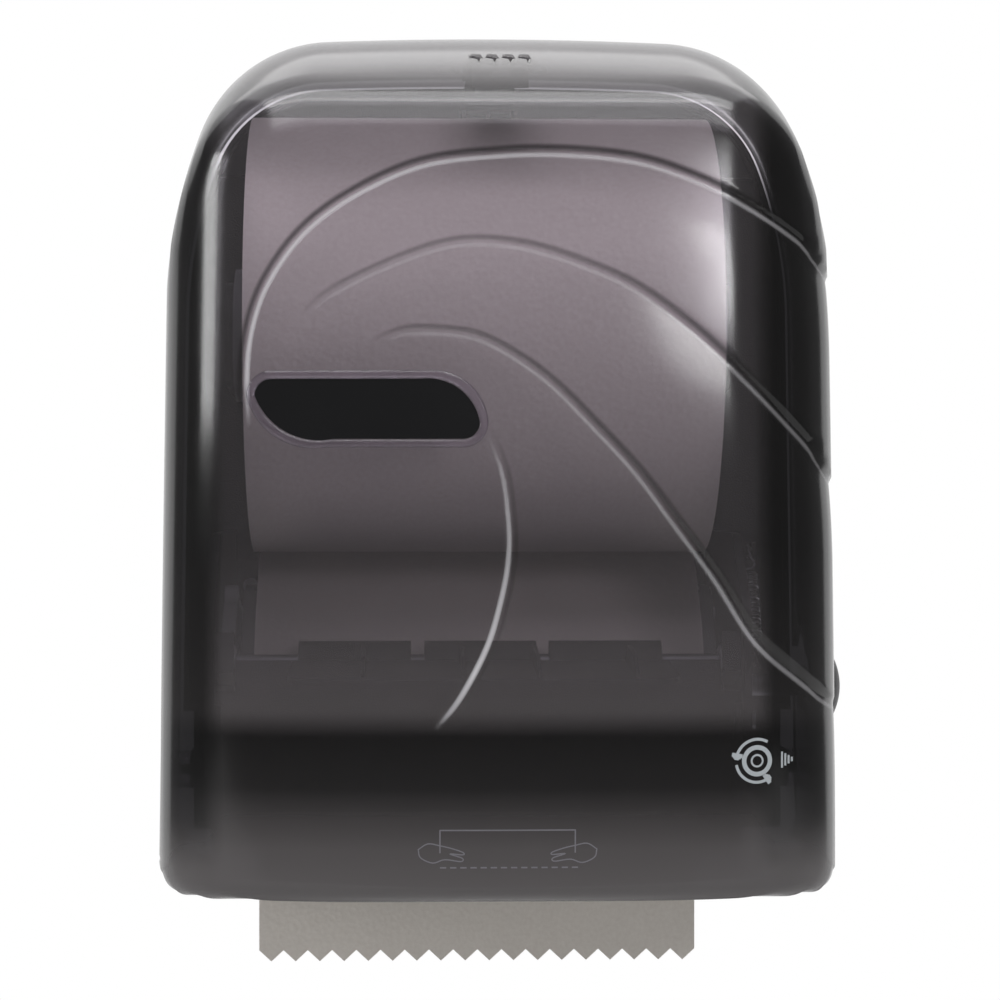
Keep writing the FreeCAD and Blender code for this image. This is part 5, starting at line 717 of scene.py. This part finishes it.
smoke = smoke_plastic()
outer_faces = shell_faces(GRID_X, GRID_Z, GRID_Y)
outer = on_skin(*shell_grid(GRID_X, GRID_Z, GRID_Y), 0.0)
outer -= outward(outer, outer_faces) * swoosh_depth(outer)[:, None]
inner_counts = (GRID_X // INNER_STEP, GRID_Z // INNER_STEP, GRID_Y // 2)
inner = on_skin(*shell_grid(*inner_counts), WALL)
inner_faces = shell_faces(*inner_counts)[:, ::-1] + len(outer)
inner_loop = 2 * (GRID_X + GRID_Z) // INNER_STEP
k = np.arange(inner_loop)
rim_faces = np.concatenate([
    len(outer) + np.stack([k, (k + 1) % inner_loop], axis=1),
    (INNER_STEP * k[:, None] + np.arange(INNER_STEP, -1, -1)) % (INNER_STEP * inner_loop)], axis=1)
cover = new_object("cover", np.concatenate([outer, inner]) / 1000,
                   outer_faces.tolist() + inner_faces.tolist() + rim_faces.tolist(), smoke)

turns = np.linspace(-np.pi, 0, PLAN_COUNT)
plan_core = np.stack([0 * turns, 0 * turns + PLAN_Y, 0 * turns + PLAN_Z], axis=1)
plan_hull = plan_core + np.stack([PLAN_R * np.cos(turns), PLAN_R * np.sin(turns), 0 * turns], axis=1)
opening = on_skin(plan_core, plan_hull, WALL + OPENING_INSET)[:, :2]
rear_opening = [(side * REAR_HALF, y) for y, sides in zip(REAR_Y, ((-1, 1), (1, -1))) for side in sides]
hinge = (HINGE_Y, HINGE_Z)
heel = np.concatenate([around(hinge, HEEL_R, -90, 0), [(0, HINGE_Z), (0, BELOW), (HINGE_Y, BELOW)]])
reach = math.hypot(SHAFT_Y - HINGE_Y, SHAFT_Z - HINGE_Z)
rest = math.degrees(math.atan2(SHAFT_Z - HINGE_Z, SHAFT_Y - HINGE_Y))
shaft_slot = np.concatenate([
    around(hinge, reach + SLOT_HALF, SLOT_END, rest),
    around((SHAFT_Y, SHAFT_Z), SLOT_HALF, rest, rest + 180, SLOT_END_COUNT)[1:-1],
    around(hinge, reach - SLOT_HALF, rest, SLOT_END)])
tools = [
    prism("opening", opening, 2, BELOW, FLOOR_TOP, smoke),
    prism("rear_opening", rear_opening, 2, BELOW, REAR_TOP, smoke),
    prism("heel_left", heel, 0, *LEFT_SIDE, smoke),
    prism("heel_right", heel, 0, *RIGHT_SIDE, smoke),
    prism("shaft_slot", shaft_slot, 0, *SHAFT_SIDE, smoke),
    prism("shaft_hole", circle((SHAFT_Y, SHAFT_Z), SHAFT_HOLE_R, HOLE_COUNT), 0, *SHAFT_SIDE, smoke)]
lock_corners = np.array([(-1, -1), (1, -1), (1, 1), (-1, 1)]) * (LOCK_WIDTH / 2, LOCK_LENGTH / 2)
tilt = np.array([[math.cos(LOCK_TILT), -math.sin(LOCK_TILT)], [math.sin(LOCK_TILT), math.cos(LOCK_TILT)]])
for n in range(LOCK_COUNT):
    lock_x = (n - (LOCK_COUNT - 1) / 2) * LOCK_PITCH
    tools.append(prism("lock_slot", lock_corners @ tilt.T + (lock_x, LOCK_Y), 2, *LOCK_Z, smoke))
carve(cover, tools)


# Cover, its smoke: each place keeps its distance from the nearest swoosh and how strong that crease is, so
# that the plastic draws its painted dark edge and painted lip highlight finer than the mesh. Each place also
# keeps how much painted shade darkens it and how cloudy it is there, partly as a painted reflection.
WINDOW_X, WINDOW_HALF, WINDOW_FADE = -5.5, 110, 9
# Painted shade by height: darkest below, a little over the roll's lower half, and half dark on top.
PAINTED_SHADE_HEIGHTS, PAINTED_SHADE_SHARES = (-119, -109, -95, -30, 140, 152), (1.0, 0.35, 0.15, 0.05, 0.0, 0.45)
# Haze by height: thin over the roll, thicker towards the bottom and on top, with a painted reflection of a
# lamp in a band from about -118 to -40 mm.
HAZE_AND_SHEEN_HEIGHTS = (-185, -165, -140, -118, -108, -85, -40, 150, 160)
HAZE_AND_SHEEN_SHARES = (0.42, 0.36, 0.06, 0.03, 0.26, 0.18, 0.07, 0.07, 0.2)
BESIDE_CLEARER, BESIDE_FROM, BESIDE_FADE = 0.75, -175, 20


def painted_smoke_zones(p):
    """Painted shade at each place, clear over the roll and dark round it and below, and the haze, partly a
    painted reflection.
    """
    x, z = p[:, 0], p[:, 2]
    beside = np.clip((np.abs(x - WINDOW_X) - WINDOW_HALF) / WINDOW_FADE, 0, 1)
    shade = np.maximum(beside, np.interp(z, PAINTED_SHADE_HEIGHTS, PAINTED_SHADE_SHARES))
    cloud = np.interp(z, HAZE_AND_SHEEN_HEIGHTS, HAZE_AND_SHEEN_SHARES)
    return shade, cloud * (1 - BESIDE_CLEARER * beside * np.clip((z - BESIDE_FROM) / BESIDE_FADE, 0, 1))


places = np.empty(3 * len(cover.data.vertices), np.float32)
cover.data.vertices.foreach_get("co", places)
places = places.reshape(-1, 3).astype(float) * 1000
fields = swoosh_fields(places)
nearest = np.argmin([np.abs(signed) + FAR_AWAY * (strength <= 0) for signed, strength, _ in fields], axis=0)
signed, strength, run = (np.choose(nearest, [field[which] for field in fields]) for which in range(3))
strength *= skin_distance(places, np.zeros(len(places)), 0.0) > OUTER_SKIN
strength *= np.clip((CREASE_REACH - np.abs(signed)) / CREASE_FADE, 0, 1)
# Painted shade, and haze with its painted reflection, at each place.
shade, cloud = painted_smoke_zones(places)
# The crease's painted shade, its painted highlight and its extra width, along each line.
dark, lip, wide = (ends[nearest, 0] * (1 - run) + ends[nearest, 1] * run
                   for ends in (CREASE_PAINTED_SHADE, CREASE_PAINTED_HIGHLIGHT, CREASE_WIDTH))
for name, values in (("crease", signed), ("crease_painted_shade", dark * strength), ("crease_painted_highlight", lip * strength),
                     ("crease_width", wide), ("smoke_painted_shade", shade), ("smoke_haze_and_sheen", cloud)):
    layer = cover.data.attributes.new(name, "FLOAT", "POINT")
    layer.data.foreach_set("value", values.astype(np.float32))
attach(cover, "cover")
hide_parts("front_cover")


# Badge rim, hinge lugs and latch bosses: moulded in one with the cover, of the same smoke plastic. The rim
# is a small rounded section run round the badge's slanted outline; lugs and bosses are bored rings.
BADGE_X, BADGE_Z, BADGE_HALF = -56.0, 17.0, np.array((46.5, 12.5))
BADGE_TIGHT, BADGE_SWEEPS, BADGE_FALL = 7.0, (24.0, 32.0), 18.0
SWEEP_COUNT, TIGHT_COUNT, RUN_COUNT = 24, 12, 26
RIM_SECTION = ((3.4, -1.2), (3.4, 0.9), (3.0, 1.45), (2.4, 1.6), (1.0, 1.6), (0.4, 1.4), (0.05, 0.9),
               (0.05, -1.2))
LUG_X, LUG_R, LUG_BORE_R = (143.8, 150.2), 9.0, 2.55
BOSS_X, BOSS_Y, BOSS_Z, BOSS_R, BOSS_BORE_R = 21.0, -100.0, (181.1, 186.0), 4.5, 1.3
RING_COUNT = 48
BEHIND_FRONT, BEFORE_FRONT = -100.0, -246.0


def band_faces(rows, count):
    """Quads over a closed band: every row joins the next, and the last row joins the first."""
    n, k = np.meshgrid(np.arange(rows), np.arange(count), indexing="ij")
    n_next, k_next = (n + 1) % rows, (k + 1) % count
    return np.stack([n * count + k, n * count + k_next, n_next * count + k_next, n_next * count + k],
                    axis=-1).reshape(-1, 4)


def bands(name, loops, material, smooth=True):
    """One object of bands: rows of places in millimetres, each row a line that one corner of a section runs.

    A closed band runs round. An open one, whose section has four corners, is shut at both ends. The volume
    between a band's faces and its middle, summed by triangles, is negative where they have to be turned.
    """
    places, faces, start = [], [], 0
    for loop, closed in loops:
        rows, count = loop.shape[:2]
        flat, quads = loop.reshape(-1, 3), band_faces(rows, count)
        if not closed:
            quads = quads[(quads[:, 0] % count) < count - 1]
        a, b, c, d = (flat[quads[:, k]] - flat.mean(axis=0) for k in range(4))
        volume = (np.cross(b - a, c - a) * a).sum() + (np.cross(c - a, d - a) * a).sum()
        if not closed:
            ends = [np.arange(rows) * count, np.arange(rows)[::-1] * count + count - 1]
            quads = np.concatenate([quads, ends])
        faces.append((quads[:, ::-1] if volume < 0 else quads) + start)
        places.append(flat)
        start += len(flat)
    return new_object(name, np.concatenate(places) / 1000, np.concatenate(faces).tolist(), material, smooth)


def arc_through(a, b, c, count):
    """Places on the circle through three flat points, clockwise from the first to the last.

    Its centre comes from the points' squares, weighted by the differences of the other two.
    """
    pts = np.array((a, b, c), float)
    square = (pts**2).sum(axis=1)
    ahead, behind = np.roll(pts, -1, axis=0), np.roll(pts, 1, axis=0)
    across, up = behind[:, 0] - ahead[:, 0], ahead[:, 1] - behind[:, 1]
    centre = np.array([(square * up).sum(), (square * across).sum()]) / (2 * (pts[:, 0] * up).sum())
    radius = np.linalg.norm(pts[0] - centre)
    first, final = (math.atan2(*(p - centre)[::-1]) for p in (pts[0], pts[2]))
    final -= 2 * math.pi if final > first else 0
    return around(centre, radius, math.degrees(first), math.degrees(final), count)


def badge_outline(grow):
    """The badge's slanted outline grown by a margin: two long sweeps, two tight corners and straight runs."""
    half_l, half_h = BADGE_HALF + grow
    tight, fall, bend = BADGE_TIGHT + grow, BADGE_FALL + grow, 1 - math.sqrt(0.5)
    points = []
    for turn, run, other in ((1, *BADGE_SWEEPS), (-1, *BADGE_SWEEPS[::-1])):
        sweep = arc_through((half_l - run, half_h), (half_l - run * bend, half_h - fall * bend),
                            (half_l, half_h - fall), SWEEP_COUNT)
        corner = arc_through((half_l, tight - half_h), (half_l - tight * bend, tight * bend - half_h),
                             (half_l - tight, -half_h), TIGHT_COUNT)
        run_back = np.linspace(corner[-1], (other - half_l, -half_h), RUN_COUNT)[1:-1]
        points += [turn * sweep[:-1], turn * corner, turn * run_back]
    return np.concatenate(points) + (BADGE_X, BADGE_Z)


def over_front(flat, height):
    """Places at a height over the front's skin, straight behind flat places as seen from the front."""
    core = np.insert(flat, 1, BEHIND_FRONT, axis=1)
    hull = np.insert(flat, 1, BEFORE_FRONT, axis=1)
    return on_skin(core, hull, -height)


def bored_ring(centre, axis, ends, outer_r, bore_r):
    """A ring's four rows round an axis: outer edge and bore at one end, then bore and edge at the other."""
    rings = zip(np.repeat(ends, 2), (outer_r, bore_r, bore_r, outer_r))
    return np.stack([np.insert(circle(centre, r, RING_COUNT), axis, at, axis=1) for at, r in rings])


rim = np.stack([over_front(badge_outline(grow), height) for grow, height in RIM_SECTION])
lugs = [bored_ring(hinge, 0, side * np.array(LUG_X), LUG_R, LUG_BORE_R) for side in (-1, 1)]
bosses = [bored_ring((side * BOSS_X, BOSS_Y), 2, BOSS_Z, BOSS_R, BOSS_BORE_R) for side in (-1, 1)]
cover_rim = bands("cover_badge_rim", [(rim, True)], smoke)
cover_lugs = bands("cover_lugs", [(ring, True) for ring in lugs + bosses], smoke, smooth=False)
for piece in (cover_rim, cover_lugs):
    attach(piece, "cover")


# Printed signs: generic ones, screen printed on the cover in matt grey ink, a thin film on the gloss.
# The towel sign shows two hands at a towel's corners over a tear line, the knob sign a knob and its turn.
PRINT_HEIGHT, PRINT_DEPTH = 0.07, -0.05
SPECK_PITCH = 1.11
TOWEL_SIGN = (2.0, -165.0)
TOWEL_HALF, TOWEL_OVERLAP, TOWEL_TOP, TOWEL_END, TOWEL_LINE = 28, 0.2, 8, -1.5, 0.55
HAND = ((-37, 0), (-33, 2.4), (-28, 1.6), (-23, 0.4), (-18.5, -1.2), (-18.6, -2.2), (-24, -1.8),
        (-18.8, -3.6), (-19.4, -5.0), (-26, -4.2), (-31, -5.6), (-36, -3.4))
HAND_LINE, TOP_COUNT = 0.5, 24
TEAR_Z, TEAR_DASH, TEAR_PITCH, TEAR_LINE = -7.6, 2.6, 4.2, 0.6
KNOB_SIGN = (106.0, -129.0)
KNOB_RINGS = ((5.6, 1.9, 48), (2.4, 0.8, 32))
ARROW_R, ARROW_LINE, ARROW_TURNS, ARROW_HEAD = 9.0, 1.2, ((60, 165), (190, 300)), (-6, 16)
ARROW_WIDE, ARROW_TIP, HEAD_SHARES = 4.2, 0.3, (0.0, 0.3, 0.6)
GRIP_X, GRIP_HALF, GRIP_SLOPE, GRIP_LINE, GRIP_STEPS = 11.0, 3.4, 0.55, 0.9, (0.0, 1.5, 3.0, 4.5)


def printed(name, colour, worn):
    """Screen-printed ink: matt, uneven and thinly worn, with its specks drawn coarse so that they show."""
    material, tree, surface = new_material(name)
    place = add(tree, "ShaderNodeTexCoord").outputs["Object"]
    speck = add(tree, "ShaderNodeTexNoise", {"Vector": place, "Scale": per_metre(SPECK_PITCH), "Detail": 3.0})
    tone = add(tree, "ShaderNodeMix", {"Factor": speck.outputs["Fac"], 6: linear(colour), 7: linear(worn)},
               data_type="RGBA")
    shader = add(tree, "ShaderNodeBsdfPrincipled", {"Base Color": tone.outputs[2], "Roughness": 0.55})
    tree.links.new(shader.outputs[0], surface)
    return material


def ink_line(points, width, closed=False):
    """A flat-topped line of ink along flat points: a rectangular section run over the skin."""
    points = np.array(points, float)
    ahead = np.roll(points, -1, axis=0) if closed else np.concatenate([points[1:], points[-1:]])
    behind = np.roll(points, 1, axis=0) if closed else np.concatenate([points[:1], points[:-1]])
    run = (ahead - behind) / np.linalg.norm(ahead - behind, axis=1, keepdims=True)
    across = np.stack([-run[:, 1], run[:, 0]], axis=1) * width / 2
    section = ((1, PRINT_DEPTH), (1, PRINT_HEIGHT), (-1, PRINT_HEIGHT), (-1, PRINT_DEPTH))
    return np.stack([over_front(points + across * side, height) for side, height in section]), closed


top_half = TOWEL_HALF + TOWEL_OVERLAP
towel_lines = [ink_line(np.array([(x, TOWEL_END), (x, TOWEL_TOP)]) + TOWEL_SIGN, TOWEL_LINE)
               for x in (-TOWEL_HALF, TOWEL_HALF)]
top_line = np.linspace((-top_half, TOWEL_TOP), (top_half, TOWEL_TOP), TOP_COUNT)
towel_lines.append(ink_line(top_line + TOWEL_SIGN, TOWEL_LINE))
hand = smooth_line(HAND + HAND[:1], fineness=5)[:-1]
towel_lines += [ink_line(hand * (side, 1) + TOWEL_SIGN, HAND_LINE, closed=True) for side in (-1, 1)]
towel_lines += [ink_line(np.array([(x, TEAR_Z), (x + TEAR_DASH, TEAR_Z)]) + TOWEL_SIGN, TEAR_LINE)
                for x in np.arange(-TOWEL_HALF, TOWEL_HALF - 1, TEAR_PITCH)]
towel_sign = bands("print_towel_sign", towel_lines, printed("grey_ink", "#77757A", "#696770"), smooth=False)

knob_lines = [ink_line(circle(KNOB_SIGN, r, count), width, closed=True) for r, width, count in KNOB_RINGS]
for first, last in ARROW_TURNS:
    knob_lines.append(ink_line(around(KNOB_SIGN, ARROW_R, first, last), ARROW_LINE))
    base, tip = around(KNOB_SIGN, ARROW_R, last + ARROW_HEAD[0], last + ARROW_HEAD[1], 2)
    for share in HEAD_SHARES:
        start = base * (1 - share) + tip * share
        knob_lines.append(ink_line([start, (start + tip) / 2], ARROW_WIDE * (1 - share) + ARROW_TIP))
for step in GRIP_STEPS:
    x, half = GRIP_X + step, GRIP_HALF - GRIP_SLOPE * step
    knob_lines.append(ink_line(np.array([(x, -half), (x, half)]) + KNOB_SIGN, GRIP_LINE))
knob_sign = bands("print_knob_sign", knob_lines, printed("light_ink", "#B4BABE", "#A2A8AC"), smooth=False)
for piece in (towel_sign, knob_sign):
    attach(piece, "cover")
